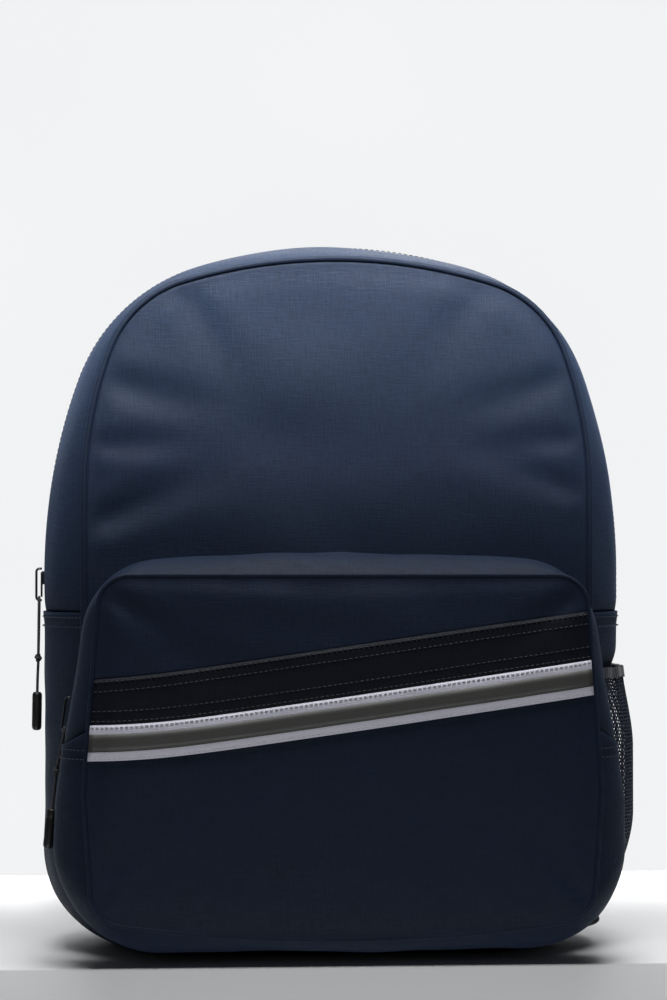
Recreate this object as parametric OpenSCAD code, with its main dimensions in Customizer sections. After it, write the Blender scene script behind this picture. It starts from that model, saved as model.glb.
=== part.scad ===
// School backpack with a front pocket, a mesh side pocket and two shoulder straps.
// The base stands on z = 0, the front faces -Y and +X is to the right, seen from the front.

/* [Bag body] */
// Height from the base to the top of the gusset
bag_height = 419.5; // [412:0.5:426]
// Width across the bulging side gussets
bag_width = 346; // [340:1:350]
// Depth between the front seam and the back seam
bag_depth = 130; // [124:1:136]
// Width of the front and back panels at the piping
panel_width = 293; // [288:1:296]
// Height of the piping at the top of the panels
panel_top = 405.5; // [400:0.5:408]
// Thickness of one layer of bag cloth
cloth = 1.5; // [1.2:0.1:1.8]
// Diameter of the piping cord in its cover
piping_d = 3.2; // [2.8:0.1:3.6]

/* [Front pocket] */
// How far the pocket stands in front of the bag
pocket_depth = 50; // [46:1:54]
// Width of the diagonal reflective tape
tape_width = 20; // [18:1:22]
// Width of the silver stripe in the middle of the tape
stripe_width = 10; // [8:1:12]

/* [Side pocket] */
// How far the mesh stands out from the middle of the gusset at its widest
mesh_reach = 19.5; // [17:0.5:21]
// Height of the elastic hem of the mesh pocket
mesh_top = 167; // [160:1:170]

/* [Zips] */
// Distance of the main zip in front of the middle of the gusset
zip_forward = 5; // [3:1:7]
// Length of a zip slider
slider_length = 21; // [20:0.5:22]
// Diameter of the cord of a zip pull
pull_cord_d = 1.6; // [1.4:0.1:1.7]
// Diameter of the barrel at the end of a zip pull
barrel_d = 5.8; // [5:0.2:6]

/* [Straps and handle] */
// Width of a shoulder strap at its top
strap_width = 62; // [56:1:64]
// Thickness of a shoulder strap
strap_thickness = 11; // [9:0.5:12]
// Width of the strap webbing
webbing_width = 25; // [22:0.5:26]
// Distance between the two ends of the haul handle
handle_span = 104; // [96:2:110]

/* [Hidden] */

// Heights that the pieces share
fold_z = 240;
fold_gap = 0.6;
gusset_seam_z = 200;
corner_top_z = 60;
side_levels = [60, 90, 130, 165, 182, 200, 240];

// Outlines: [half width, top, height where the flank starts to curve, flank radius,
// flank angle, shoulder radius, base, bottom corner radius]
mid_outline = [bag_width / 2, bag_height, 225, 334.3, 20.1, 110, 0, corner_top_z];
seam_outline = [panel_width / 2, panel_top, 270, 240, 20, 65, 5, corner_top_z - 5];
bulge_power = 2.4;
base_fill = 2.2;
crown_steps = 24;
corner_steps = 5;
base_steps = 2;
gusset_steps = 8;
piping_out = 1.2;

// The bottle pocket's hollow in the right gusset
dent_depth = 9.5;
dent_low = [12, 45];
dent_high = [186, 199];

// Zip chain, measured outwards from the outside of the cloth
zip_y = -zip_forward;
zip_gap = 7;
tape_edge = 1.5;
tape_top = -cloth - 0.5;
tape_thickness = 0.6;
coil_r = 1.1;
coil_offset = 2.0;
coil_height = -0.4;

// Slider, in its own frame: x outwards, y across the zip, z along it
plate_width = 10;
plate_thickness = 0.8;
plate_low = 1.3;
under_plate_top = -4.1;
neck_width = 0.6;
hoop_wire_r = 0.7;
hoop_height = 4.9;
hoop_leg = slider_length / 2 - 1;
hoop_bend_r = 2;
main_slider_z = 216;

// Pocket outlines: [bottom centre, bottom corner, knee, top corner, top centre], then the two corner radii
pocket_rear = [[[0, 7], [143.5, 7], [143.5, 92], [143.5, 228], [0, 236]], 55, 30];
pocket_mid = [[[0, 8], [164, 8], [164, 92], [141, 231], [0, 235]], 60, 38];
pocket_face = [[[0, 22], [143, 22], [143, 75], [134, 221], [0, 221.5]], 38, 42];
pocket_bulge_power = 2.2;
pocket_back_y = -bag_depth / 2 - cloth - 0.1;
pocket_face_y = pocket_back_y - pocket_depth;
pocket_seam_z = 127;
pocket_fold_z = 110;
pocket_zip_v = 0.28;
pocket_zip_half = 0.14;
pocket_slider_z = 142;

// Diagonal band and tape on the pocket: height at the left edge and at the right edge
band_edges = [[-138, 165], [-67, 173], [31, 189], [131, 201.5]];
tape_edges = [[-142, 139], [-67, 144.4], [14, 158], [141, 173.5]];
band_thickness = 1;
trim_thickness = 0.8;

// Back of the bag
back_face = bag_depth / 2 + cloth;
pad_thickness = 10;
yoke_z = 346;
yoke_height = 18;
strap_count = 18;
handle_z = 399;
handle_drop = 40;
grip_r = 6.5;

// Cord routes, hand laid
main_cord_route = [
    [-177.2, -5.9, 150], [-177, -6.1, 160], [-176.7, -6.2, 168], [-176.6, -6.3, 174],
    [-176.4, -7.4, 186], [-176.3, -8.1, 196], [-176.2, -8.2, 202], [-176.2, -8.2, 205.1],
    [-176.2, -7.3, 207.5], [-176.2, -5, 208.4], [-176.2, -2.7, 207.5], [-176.2, -1.8, 205.1],
    [-176.2, -1.8, 202], [-176.3, -1.9, 196], [-176.4, -2.6, 186], [-176.6, -3.7, 174],
    [-176.7, -3.8, 168], [-177, -3.9, 160], [-177.2, -4.1, 150]
];
main_knot = [-176.7, -5, 172];
main_barrel_top = [-177.2, -5, 151.5];
main_barrel_lean = 0.8;
main_barrel_length = 23;

/* Helpers */
function lerp(a, b, t) = a + (b - a) * t;
function total(v) = v * [for (x = v) 1];
function unit(v) = v / norm(v);
function smooth(a, b, x) = let (t = min(1, max(0, (x - a) / (b - a)))) t * t * (3 - 2 * t);
function ray(centre, r, angle) =
    let (
        d = centre - [0, fold_z],
        u = [cos(angle), sin(angle)],
        along = d * u
    )
    [0, fold_z] + u * (along + sqrt(along * along - d * d + r * r));
function inset(o, t) = [o[0] - t, o[1] - t, o[2], o[3] - t, o[4], o[5] - t, o[6] + t, o[7] - t];
function side_x(o, z) = z <= o[2] ? o[0] : o[0] - o[3] + sqrt(o[3] * o[3] - (z - o[2]) * (z - o[2]));

// Point of a basket arch at an angle about the middle of the fold line
function crown_point(o, phi) =
    let (
        a = phi > 90 ? 180 - phi : phi,
        flank = [o[0] - o[3], o[2]],
        shoulder = flank + (o[3] - o[5]) * [cos(o[4]), sin(o[4])],
        drop = shoulder.y - o[1],
        top_r = (o[5] * o[5] - shoulder.x * shoulder.x - drop * drop) / (2 * (drop + o[5])),
        top = [0, o[1] - top_r],
        join = atan2(shoulder.y - top.y, shoulder.x),
        on_side = a < 45 ? [o[0], fold_z + o[0] * tan(a)] : [0, bag_height],
        on_flank = ray(flank, o[3], a),
        on_shoulder = ray(shoulder, o[5], a),
        f = on_flank - flank,
        s = on_shoulder - shoulder,
        p = on_side.y <= o[2] ? on_side
            : atan2(f.y, f.x) <= o[4] ? on_flank
            : atan2(s.y, s.x) <= join ? on_shoulder
            : ray(top, top_r, a)
    )
    phi > 90 ? [-p.x, p.y] : p;

function crown(o) = [for (i = [0:crown_steps]) crown_point(o, 180 - 180 * i / crown_steps)];
function both(half) = concat([for (i = [len(half) - 1:-1:1]) [-half[i].x, half[i].y]], half);
function low_half(o, top_z) = concat(
    [for (i = [0:base_steps]) [(o[0] - o[7]) * i / base_steps, o[6]]],
    [for (i = [1:corner_steps - 1]) let (a = 90 * i / corner_steps)
        [o[0] - o[7] + o[7] * sin(a), o[6] + o[7] * (1 - cos(a))]],
    [for (z = side_levels) if (z <= top_z) [side_x(o, z), z]]
);
function side_run(o, low, high) = [for (z = side_levels) if (z >= low && z <= high) [side_x(o, z), z]];
function reversed(v) = [for (i = [len(v) - 1:-1:0]) v[i]];
function flipped(v) = [for (p = v) [-p.x, p.y]];
function arch(o) = concat(
    flipped(side_run(o, gusset_seam_z, fold_z - 1)),
    crown(o),
    reversed(side_run(o, gusset_seam_z, fold_z - 1))
);

// The gusset's surface between a seam point and the matching point in the middle of the bag
function bulge(v) = 1 - pow(abs(2 * v - 1), bulge_power);
function dented(p) = p.x < 0 ? p
    : [p.x - dent_depth * smooth(dent_low[0], dent_low[1], p.y) * (1 - smooth(dent_high[0], dent_high[1], p.y)), p.y];
function gusset_point(seam, mid, v) =
    let (
        k = bulge(v),
        kz = seam.y < corner_top_z ? min(1, base_fill * k) : k
    )
    [lerp(seam.x, mid.x, k), bag_depth * (v - 0.5), lerp(seam.y, mid.y, kz)];
function gusset_grid(seam, mid, v0, v1, steps) =
    [for (i = [0:len(seam) - 1]) [for (j = [0:steps])
        gusset_point(seam[i], dented(mid[i]), lerp(v0, v1, j / steps))]];
function v_at(y) = y / bag_depth + 0.5;

// Closed solid between two matching grids of points
function quad(a, b, c, d) = [[a, b, c], [a, c, d]];
function sheet_faces(rows, cols) =
    let (n = rows * cols)
    concat(
        [for (r = [0:rows - 2]) for (c = [0:cols - 2]) let (k = r * cols + c)
            each quad(k, k + 1, k + cols + 1, k + cols)],
        [for (r = [0:rows - 2]) for (c = [0:cols - 2]) let (k = n + r * cols + c)
            each quad(k, k + cols, k + cols + 1, k + 1)],
        [for (r = [0:rows - 2]) let (k = r * cols) each quad(k, k + cols, k + cols + n, k + n)],
        [for (r = [0:rows - 2]) let (k = r * cols + cols - 1) each quad(k, k + n, k + cols + n, k + cols)],
        [for (c = [0:cols - 2]) each quad(c, c + n, c + n + 1, c + 1)],
        [for (c = [0:cols - 2]) let (k = (rows - 1) * cols + c) each quad(k, k + 1, k + n + 1, k + n)]
    );
function enclosed(p, faces) = total([for (f = faces) p[f[0]] * cross(p[f[1]], p[f[2]])]);
module solid(points, faces) {
    inside_out = enclosed(points, faces) > 0;
    polyhedron(points, [for (f = faces) inside_out ? [f[2], f[1], f[0]] : f]);
}
module thick_sheet(outer, inner) {
    solid(
        concat([for (row = outer) each row], [for (row = inner) each row]),
        sheet_faces(len(outer), len(outer[0]))
    );
}

// Round or flat section swept along a route; the section's width lies across the reference direction
function tangent(route, i) = unit(route[min(len(route) - 1, i + 1)] - route[max(0, i - 1)]);
function ring(route, i, w, h, sides, ref) =
    let (
        t = tangent(route, i),
        across = unit(cross(t, ref)),
        up = cross(across, t)
    )
    [for (k = [0:sides - 1]) let (a = 360 * (k + 0.5) / sides) route[i] + across * w * cos(a) + up * h * sin(a)];
function tube_faces(rings, sides) = concat(
    [for (r = [0:rings - 2]) for (k = [0:sides - 1]) let (a = r * sides + k, b = r * sides + (k + 1) % sides)
        each quad(a, b, b + sides, a + sides)],
    [for (k = [1:sides - 2]) [0, k + 1, k]],
    [for (k = [1:sides - 2]) let (e = (rings - 1) * sides) [e, e + k, e + k + 1]]
);
module sweep(route, w, h, sides, ref) {
    solid(
        [for (i = [0:len(route) - 1]) each ring(route, i, w, h, sides, ref)],
        tube_faces(len(route), sides)
    );
}
module tube(route, r, sides, ref) {
    sweep(route, r, r, sides, ref);
}
function raised(flat, y) = [for (p = flat) [p.x, y, p.y]];
module plate(outline, y_low, y_high) {
    translate([0, y_high, 0])
        rotate([90, 0, 0])
            linear_extrude(y_high - y_low)
                polygon(outline);
}
module arch_strip(run_out, run_in, y0, y1, steps) {
    thick_sheet(
        gusset_grid(run_out[0], run_out[1], v_at(y0), v_at(y1), steps),
        gusset_grid(run_in[0], run_in[1], v_at(y0), v_at(y1), steps)
    );
}

/* Bag body */
front_seam_y = -bag_depth / 2;
back_seam_y = bag_depth / 2;
seam_in = inset(seam_outline, cloth);
mid_in = inset(mid_outline, cloth);

module front_panel_upper() {
    color([0.2, 0.25, 0.33])
        plate(crown(inset(seam_outline, 0.2)), front_seam_y - cloth, front_seam_y);
}
module front_panel_lower() {
    color([0.2, 0.25, 0.33])
        intersection() {
            plate(both(low_half(inset(seam_outline, 0.2), fold_z)), front_seam_y - cloth, front_seam_y);
            translate([-bag_width, -bag_depth, -1])
                cube([2 * bag_width, 2 * bag_depth, fold_z + 1 - fold_gap]);
        }
}
module back_panel() {
    color([0.13, 0.16, 0.22])
        plate(concat(both(low_half(seam_outline, fold_z - 1)), reversed(crown(seam_outline))),
            back_seam_y, back_seam_y + cloth);
}
module back_foam() {
    foam_outline = inset(seam_outline, 8);
    color([0.75, 0.75, 0.72])
        plate(concat(both(low_half(foam_outline, fold_z - 1)), reversed(crown(foam_outline))),
            back_seam_y - 4.5, back_seam_y - 0.2);
}
module front_gusset() {
    color([0.2, 0.25, 0.33])
        arch_strip([crown(seam_outline), crown(mid_outline)], [crown(seam_in), crown(mid_in)],
            front_seam_y, zip_y - zip_gap, 4);
}
module front_gusset_feet() {
    for (side = [-1, 1]) {
        low = [for (o = [seam_outline, mid_outline, seam_in, mid_in])
            [for (z = [gusset_seam_z, fold_z - fold_gap]) [side * side_x(o, z), z]]];
        color([0.2, 0.25, 0.33])
            arch_strip([low[0], low[1]], [low[2], low[3]], front_seam_y, zip_y - zip_gap, 4);
    }
}
module rear_gusset() {
    color([0.2, 0.25, 0.33])
        arch_strip([arch(seam_outline), arch(mid_outline)], [arch(seam_in), arch(mid_in)],
            zip_y + zip_gap, back_seam_y, 5);
}
module lower_gusset() {
    color([0.16, 0.2, 0.28])
        arch_strip(
            [both(low_half(seam_outline, gusset_seam_z)), both(low_half(mid_outline, gusset_seam_z))],
            [both(low_half(seam_in, gusset_seam_z)), both(low_half(mid_in, gusset_seam_z))],
            front_seam_y, back_seam_y, gusset_steps);
}
module base_board() {
    board = [196, 90, 3];
    color([0.1, 0.1, 0.1])
        translate([-board.x / 2, -board.y / 2, cloth + 0.3])
            cube(board);
}
module piping_run(flat, y) {
    color([0.08, 0.1, 0.14])
        tube(raised(flat, y), piping_d / 2, 8, [0, 1, 0]);
}
module piping_front_upper() {
    piping_run(crown(inset(seam_outline, -piping_d / 2)), front_seam_y - piping_out);
}
module piping_front_lower() {
    run = both(low_half(inset(seam_outline, -piping_d / 2), fold_z - 1));
    end = [panel_width / 2 + piping_d / 2, fold_z - fold_gap];
    piping_run(concat([[-end.x, end.y]], run, [end]), front_seam_y - piping_out);
}
module piping_back() {
    outline = inset(seam_outline, -piping_d / 2);
    loop = concat(both(low_half(outline, fold_z - 1)), reversed(crown(outline)));
    piping_run(concat(loop, [loop[0] + [0, 0.3]]), back_seam_y + piping_out);
}

/* Main zip */
module zip_strip(run, y0, y1) {
    color([0.08, 0.09, 0.12])
        thick_sheet(
            gusset_grid(run[0][0], run[0][1], v_at(y0), v_at(y1), 3),
            gusset_grid(run[1][0], run[1][1], v_at(y0), v_at(y1), 3)
        );
}
tape_seam = inset(seam_outline, -tape_top);
tape_mid = inset(mid_outline, -tape_top);
tape_seam_in = inset(seam_outline, tape_thickness - tape_top);
tape_mid_in = inset(mid_outline, tape_thickness - tape_top);
coil_mid = inset(mid_outline, -coil_height);

module coil_run(flat, y) {
    color([0.05, 0.06, 0.08])
        tube(raised(flat, y), coil_r, 8, [0, 1, 0]);
}
module front_zip_tape() {
    zip_strip([[crown(tape_seam), crown(tape_mid)], [crown(tape_seam_in), crown(tape_mid_in)]],
        zip_y - 2 * zip_gap, zip_y - tape_edge);
}
module rear_zip_tape() {
    zip_strip([[arch(tape_seam), arch(tape_mid)], [arch(tape_seam_in), arch(tape_mid_in)]],
        zip_y + tape_edge, zip_y + 2 * zip_gap);
}
module front_zip_coil() {
    coil_run(crown(coil_mid), zip_y - coil_offset);
}
module rear_zip_coil() {
    coil_run(arch(coil_mid), zip_y + coil_offset);
}
module front_zip_feet() {
    for (side = [-1, 1]) {
        levels = [gusset_seam_z, fold_z - fold_gap];
        run = [for (o = [tape_seam, tape_mid, tape_seam_in, tape_mid_in])
            [for (z = levels) [side * side_x(o, z), z]]];
        zip_strip([[run[0], run[1]], [run[2], run[3]]], zip_y - 2 * zip_gap, zip_y - tape_edge);
        coil_run([for (z = levels) [side * side_x(coil_mid, z), z]], zip_y - coil_offset);
    }
}
module zip_end_tabs() {
    tab = [1.2, 22, 6];
    for (side = [-1, 1]) {
        color([0.08, 0.1, 0.14])
            translate([side * (bag_width / 2 + 0.8) - tab.x / 2 - side * 0.1, zip_y - tab.y / 2, gusset_seam_z - tab.z])
                cube(tab);
    }
}

// Slider with a wire hoop, in its own frame
module slider_body() {
    color([0.6, 0.61, 0.63])
        union() {
            translate([plate_low, -plate_width / 2, -slider_length / 2])
                cube([plate_thickness, plate_width, slider_length]);
            translate([under_plate_top - plate_thickness, -plate_width / 2, -slider_length / 2])
                cube([plate_thickness, plate_width, slider_length]);
            translate([under_plate_top - 0.2, -neck_width / 2, -slider_length / 2])
                cube([plate_low - under_plate_top + 0.4, neck_width, slider_length]);
            for (end = [-1, 1]) {
                translate([plate_low + 0.2, 0, end * hoop_leg])
                    rotate([0, 90, 0])
                        cylinder(r = hoop_wire_r, h = hoop_height - hoop_bend_r - plate_low - 0.2, $fn = 24);
                translate([hoop_height - hoop_bend_r, 0, end * (hoop_leg - hoop_bend_r)])
                    rotate([90, 0, 0])
                        rotate([0, 0, end > 0 ? 0 : -90])
                            rotate_extrude(angle = 90, $fn = 24)
                                translate([hoop_bend_r, 0])
                                    circle(r = hoop_wire_r, $fn = 24);
            }
            translate([hoop_height, 0, -hoop_leg + hoop_bend_r])
                cylinder(r = hoop_wire_r, h = 2 * (hoop_leg - hoop_bend_r), $fn = 24);
        }
}
module main_slider() {
    translate([-bag_width / 2, zip_y, main_slider_z])
        mirror([1, 0, 0])
            slider_body();
}

/* Zip pulls */
module pull_cord(route) {
    color([0.06, 0.07, 0.1])
        tube(route, pull_cord_d / 2, 8, [1, 0, 0]);
}
module pull_knot(place, lean) {
    knot = [2.6, 4.6];
    color([0.06, 0.07, 0.1])
        translate(place)
            rotate([0, lean, 0])
                rotate_extrude($fn = 32)
                    polygon([for (a = [-90:20:90]) [knot.x * cos(a), knot.y * sin(a)]]);
}
module pull_barrel(top, lean) {
    rim = 0.8;
    color([0.02, 0.02, 0.03])
        translate(top)
            rotate([0, lean, 0])
                rotate_extrude($fn = 48)
                    polygon([
                        [0, -main_barrel_length], [barrel_d / 2 - rim, -main_barrel_length],
                        [barrel_d / 2, -main_barrel_length + rim], [barrel_d / 2, -rim],
                        [barrel_d / 2 - rim, 0], [0, 0]
                    ]);
}
module main_pull_cord() {
    pull_cord(main_cord_route);
}
module main_pull_knot() {
    pull_knot(main_knot, main_barrel_lean);
}
module main_pull_barrel() {
    pull_barrel(main_barrel_top, main_barrel_lean);
}

/* Front pocket */
// Corner of an outline, rounded with an arc of evenly spaced points
function arc_points(before, at, after, r, steps) =
    let (
        u = unit(before - at),
        w = unit(after - at),
        half = acos(u * w) / 2,
        centre = at + unit(u + w) * r / sin(half),
        start = centre - at - u * ((centre - at) * u),
        end = centre - at - w * ((centre - at) * w),
        a0 = atan2(-start.y, -start.x),
        a1 = atan2(-end.y, -end.x)
    )
    [for (i = [0:steps]) let (a = lerp(a0, a1 < a0 ? a1 + 360 : a1, i / steps)) centre + r * [cos(a), sin(a)]];
function pocket_half(o, t, low, high) =
    let (
        v = o[0],
        low_arc = arc_points(v[0], v[1], v[2], o[1], corner_steps),
        high_arc = arc_points(v[2], v[3], v[4], o[2], corner_steps),
        start = high_arc[0],
        seam = lerp(v[2], start, (pocket_seam_z - v[2].y) / (start.y - v[2].y)),
        below = concat([v[0], lerp(v[0], low_arc[0], 0.5)], low_arc, [v[2]]),
        above = concat([lerp(seam, start, 0.5)], high_arc, [lerp(high_arc[corner_steps], v[4], 0.5), v[4]])
    )
    concat(low ? below : [], [seam], high ? above : []);
function grown(p, t) = [p.x - t * (p.x == 0 ? 0 : 1), p.y + t * (p.y < pocket_fold_z ? 1 : -1)];
function shrunk(o, t) = [[for (p = o[0]) abs(p.y - 83.5) < 10 ? [p.x - t, p.y] : grown(p, t)], o[1] - t, o[2] - t];
function pocket_low(o) = both(pocket_half(o, 0, true, false));
function pocket_high(o) = let (h = pocket_half(o, 0, false, true))
    concat([for (p = h) [-p.x, p.y]], [for (i = [len(h) - 2:-1:0]) h[i]]);
function pocket_k(v) = 1 - pow(abs(2 * v - 1), pocket_bulge_power);
function pocket_point(rear, mid, face, v) =
    let (q = lerp(v < 0.5 ? rear : face, mid, pocket_k(v)))
    [q.x, lerp(pocket_back_y, pocket_face_y, v), q.y];
function pocket_grid(runs, v0, v1, steps) =
    [for (i = [0:len(runs[0]) - 1]) [for (j = [0:steps])
        pocket_point(runs[0][i], runs[1][i], runs[2][i], lerp(v0, v1, j / steps))]];
pocket_outlines = [pocket_rear, pocket_mid, pocket_face];
function low_runs(t) = [for (o = pocket_outlines) pocket_low(shrunk(o, t))];
function high_runs(t) = [for (o = pocket_outlines) pocket_high(shrunk(o, t))];
module pocket_shell(outer, inner, v0, v1, steps) {
    thick_sheet(pocket_grid(outer, v0, v1, steps), pocket_grid(inner, v0, v1, steps));
}
function pocket_zip_x(z) =
    let (
        line = pocket_zip_line(0),
        a = line[0],
        b = line[2]
    )
    lerp(a.x, b.x, (z - a.z) / (b.z - a.z));
pocket_zip_tilt = atan((pocket_zip_x(190) - pocket_zip_x(142)) / (190 - 142));
pocket_zip_y = lerp(pocket_back_y, pocket_face_y, pocket_zip_v);
pocket_slider_place = [pocket_zip_x(pocket_slider_z), pocket_zip_y, pocket_slider_z];

function pocket_outline_whole(o) = concat(
    both(pocket_half(o, 0, true, false)),
    let (h = pocket_half(o, 0, false, true)) concat([for (i = [1:len(h) - 1]) h[i]],
        [for (i = [len(h) - 2:-1:1]) [-h[i].x, h[i].y]])
);
module pocket_cloth(low, high) {
    color([0.16, 0.2, 0.26])
        intersection() {
            plate(pocket_outline_whole(shrunk(pocket_face, 0.2)), pocket_face_y - cloth, pocket_face_y);
            translate([-bag_width, -bag_depth * 2, low])
                cube([2 * bag_width, 2 * bag_depth, high - low]);
        }
}
module pocket_front_upper() {
    pocket_cloth(pocket_fold_z + 1, bag_height);
}
module pocket_front_lower() {
    pocket_cloth(0, pocket_fold_z - 1);
}
module pocket_front_gusset() {
    color([0.2, 0.25, 0.33])
        pocket_shell(high_runs(0), high_runs(cloth), pocket_zip_v + pocket_zip_half, 1, 3);
}
module pocket_rear_gusset() {
    color([0.2, 0.25, 0.33])
        pocket_shell(high_runs(0), high_runs(cloth), 0, pocket_zip_v - pocket_zip_half, 2);
}
module pocket_lower_gusset() {
    seam_gap = 0.6;
    color([0.16, 0.2, 0.28])
        intersection() {
            pocket_shell(low_runs(0), low_runs(cloth), 0, 1, 6);
            translate([-bag_width, -bag_depth * 2, 0])
                cube([2 * bag_width, 2 * bag_depth, pocket_seam_z - seam_gap]);
        }
}
// The tapes and coils lie flat across the zip, parallel to the pocket's depth
function pocket_zip_line(t) = [for (row = pocket_grid(high_runs(t), pocket_zip_v, pocket_zip_v + 0.1, 1)) row[0]];
function moved(line, dy) = [for (p = line) p + [0, dy, 0]];
module pocket_tape(y0, y1) {
    outer = pocket_zip_line(-tape_top);
    inner = pocket_zip_line(tape_thickness - tape_top);
    color([0.08, 0.09, 0.12])
        thick_sheet([for (p = outer) [p + [0, y0, 0], p + [0, y1, 0]]], [for (p = inner) [p + [0, y0, 0], p + [0, y1, 0]]]);
}
module pocket_front_tape() {
    pocket_tape(-zip_gap + 0.4, -tape_edge);
}
module pocket_rear_tape() {
    pocket_tape(tape_edge, zip_gap - 0.4);
}
module pocket_coil(dy) {
    color([0.05, 0.06, 0.08])
        tube(moved(pocket_zip_line(-coil_height), dy), coil_r, 8, [0, 1, 0]);
}
module pocket_front_coil() {
    pocket_coil(-coil_offset);
}
module pocket_rear_coil() {
    pocket_coil(coil_offset);
}
module pocket_slider() {
    translate(pocket_slider_place)
        rotate([0, pocket_zip_tilt, 0])
            mirror([1, 0, 0])
                slider_body();
}
function sloped(edge, shift) = concat(edge, [for (i = [len(edge) - 1:-1:0]) edge[i] - [0, shift]]);
module pocket_band() {
    gap = 0.4;
    foot = [for (p = tape_edges) p + [0, gap]];
    color([0.05, 0.06, 0.09])
        plate(concat(band_edges, reversed(foot)), pocket_face_y - cloth - band_thickness, pocket_face_y - cloth);
}
module reflective_tape() {
    color([0.86, 0.86, 0.88])
        plate(sloped(tape_edges, tape_width), pocket_face_y - cloth - trim_thickness, pocket_face_y - cloth);
}
module silver_stripe() {
    edge = [for (p = tape_edges) p - [0, (tape_width - stripe_width) / 2]];
    color([0.5, 0.5, 0.52])
        plate(sloped(edge, stripe_width), pocket_face_y - cloth - trim_thickness - 0.3,
            pocket_face_y - cloth - trim_thickness);
}

// Pull of the pocket zip
pocket_cord_route = [
    [-165, -81.5, 87], [-164.1, -81.6, 96], [-163.1, -81.8, 105], [-162.4, -81.9, 111],
    [-161.1, -83, 118], [-159.6, -83.8, 125], [-158.5, -83.9, 129.7], [-158.2, -83.8, 131.9],
    [-158.1, -83.1, 134.1], [-158.1, -80.6, 135], [-158.1, -78.1, 134.1], [-158.2, -77.4, 131.9],
    [-158.5, -77.3, 129.7], [-159.6, -77.4, 125], [-161.1, -78.2, 118], [-162.4, -79.3, 111],
    [-163.1, -79.4, 105], [-164.1, -79.6, 96], [-165, -79.7, 87]
];
pocket_knot = [-162.6, -80.6, 110.5];
pocket_barrel_top = [-165, -80.6, 88.5];
pocket_pull_lean = 6.3;
module pocket_pull_cord() {
    pull_cord(pocket_cord_route);
}
module pocket_pull_knot() {
    pull_knot(pocket_knot, pocket_pull_lean);
}
module pocket_pull_barrel() {
    pull_barrel(pocket_barrel_top, pocket_pull_lean);
}

/* Mesh pocket */
mesh_levels = [14, 22, 34, 50, 70, 95, 120, 145];
mesh_half_y = 58;
function mesh_edge_x(z) =
    let (v = v_at(mesh_half_y), s = z < corner_top_z ? corner_x(seam_outline, z) : side_x(seam_outline, z),
        m = z < corner_top_z ? corner_x(mid_outline, z) : side_x(mid_outline, z))
    lerp(s, dented([m, z]).x, bulge(v)) + 2.5;
function corner_x(o, z) = o[0] - o[7] + sqrt(o[7] * o[7] - (o[6] + o[7] - z) * (o[6] + o[7] - z));
function mesh_out(z) = lerp(
    lerp(corner_x(mid_outline, 14) + 3, bag_width / 2 + mesh_reach - dent_depth, smooth(-15, 80, z)),
    bag_width / 2 + 1.5, smooth(118, mesh_top + 12, z));
function mesh_point(z, w, t) =
    let (
        edge = mesh_edge_x(z),
        reach = max(mesh_out(z), edge + 1)
    )
    [lerp(edge, reach, 1 - pow(abs(w), 2.6)) - t, mesh_half_y * w, z];
function mesh_grid(levels, t) =
    [for (z = levels) [for (j = [-5:5]) mesh_point(z, j / 5, t)]];
module mesh_pocket() {
    levels = concat(mesh_levels, [mesh_top - 6]);
    color([0.12, 0.14, 0.19])
        thick_sheet(mesh_grid(levels, 0), mesh_grid(levels, 1));
}
module mesh_hem() {
    levels = [mesh_top - 5.8, mesh_top];
    color([0.1, 0.12, 0.17])
        thick_sheet(mesh_grid(levels, -0.5), mesh_grid(levels, 1.5));
}

/* Inside */
module inner_sleeve() {
    sleeve = [236, 270];
    low = 12;
    face_y = 46;
    wall = 1.5;
    depth = back_seam_y - 4.8 - face_y;
    color([0.25, 0.27, 0.3])
        union() {
            translate([-sleeve.x / 2, face_y, low])
                cube([sleeve.x, wall, sleeve.y]);
            translate([-sleeve.x / 2, face_y, low])
                cube([sleeve.x, depth, wall]);
            for (side = [0, 1]) {
                translate([-sleeve.x / 2 + side * (sleeve.x - wall), face_y, low])
                    cube([wall, depth, sleeve.y]);
            }
        }
}

/* Back pads, yoke, straps */
module rounded(size, r) {
    translate([r, r])
        hull() {
            for (x = [0, size.x - 2 * r]) {
                for (z = [0, size.y - 2 * r]) {
                    translate([x, z])
                        circle(r = r, $fn = 32);
                }
            }
        }
}
module pad(place, size, r) {
    rim = 5;
    color([0.09, 0.1, 0.13])
        translate([0, back_face + 0.1, 0])
            rotate([90, 0, 0])
                mirror([0, 0, 1])
                    hull() {
                        translate(place)
                            linear_extrude(pad_thickness / 2)
                                rounded(size, r);
                        translate(place + [rim, rim])
                            linear_extrude(pad_thickness)
                                rounded(size - 2 * [rim, rim], r - rim / 2);
                    }
}
module back_pad_left() {
    pad([-104, 118], [84, 214], 20);
}
module back_pad_right() {
    pad([20, 118], [84, 214], 20);
}
module lumbar_pad() {
    pad([-104, 46], [208, 62], 20);
}
module strap_yoke() {
    color([0.09, 0.11, 0.15])
        plate([[-104, yoke_z - 8], [104, yoke_z - 8], [92, yoke_z + yoke_height], [-92, yoke_z + yoke_height]],
            back_face + 0.1, back_face + 2.1);
}

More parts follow.
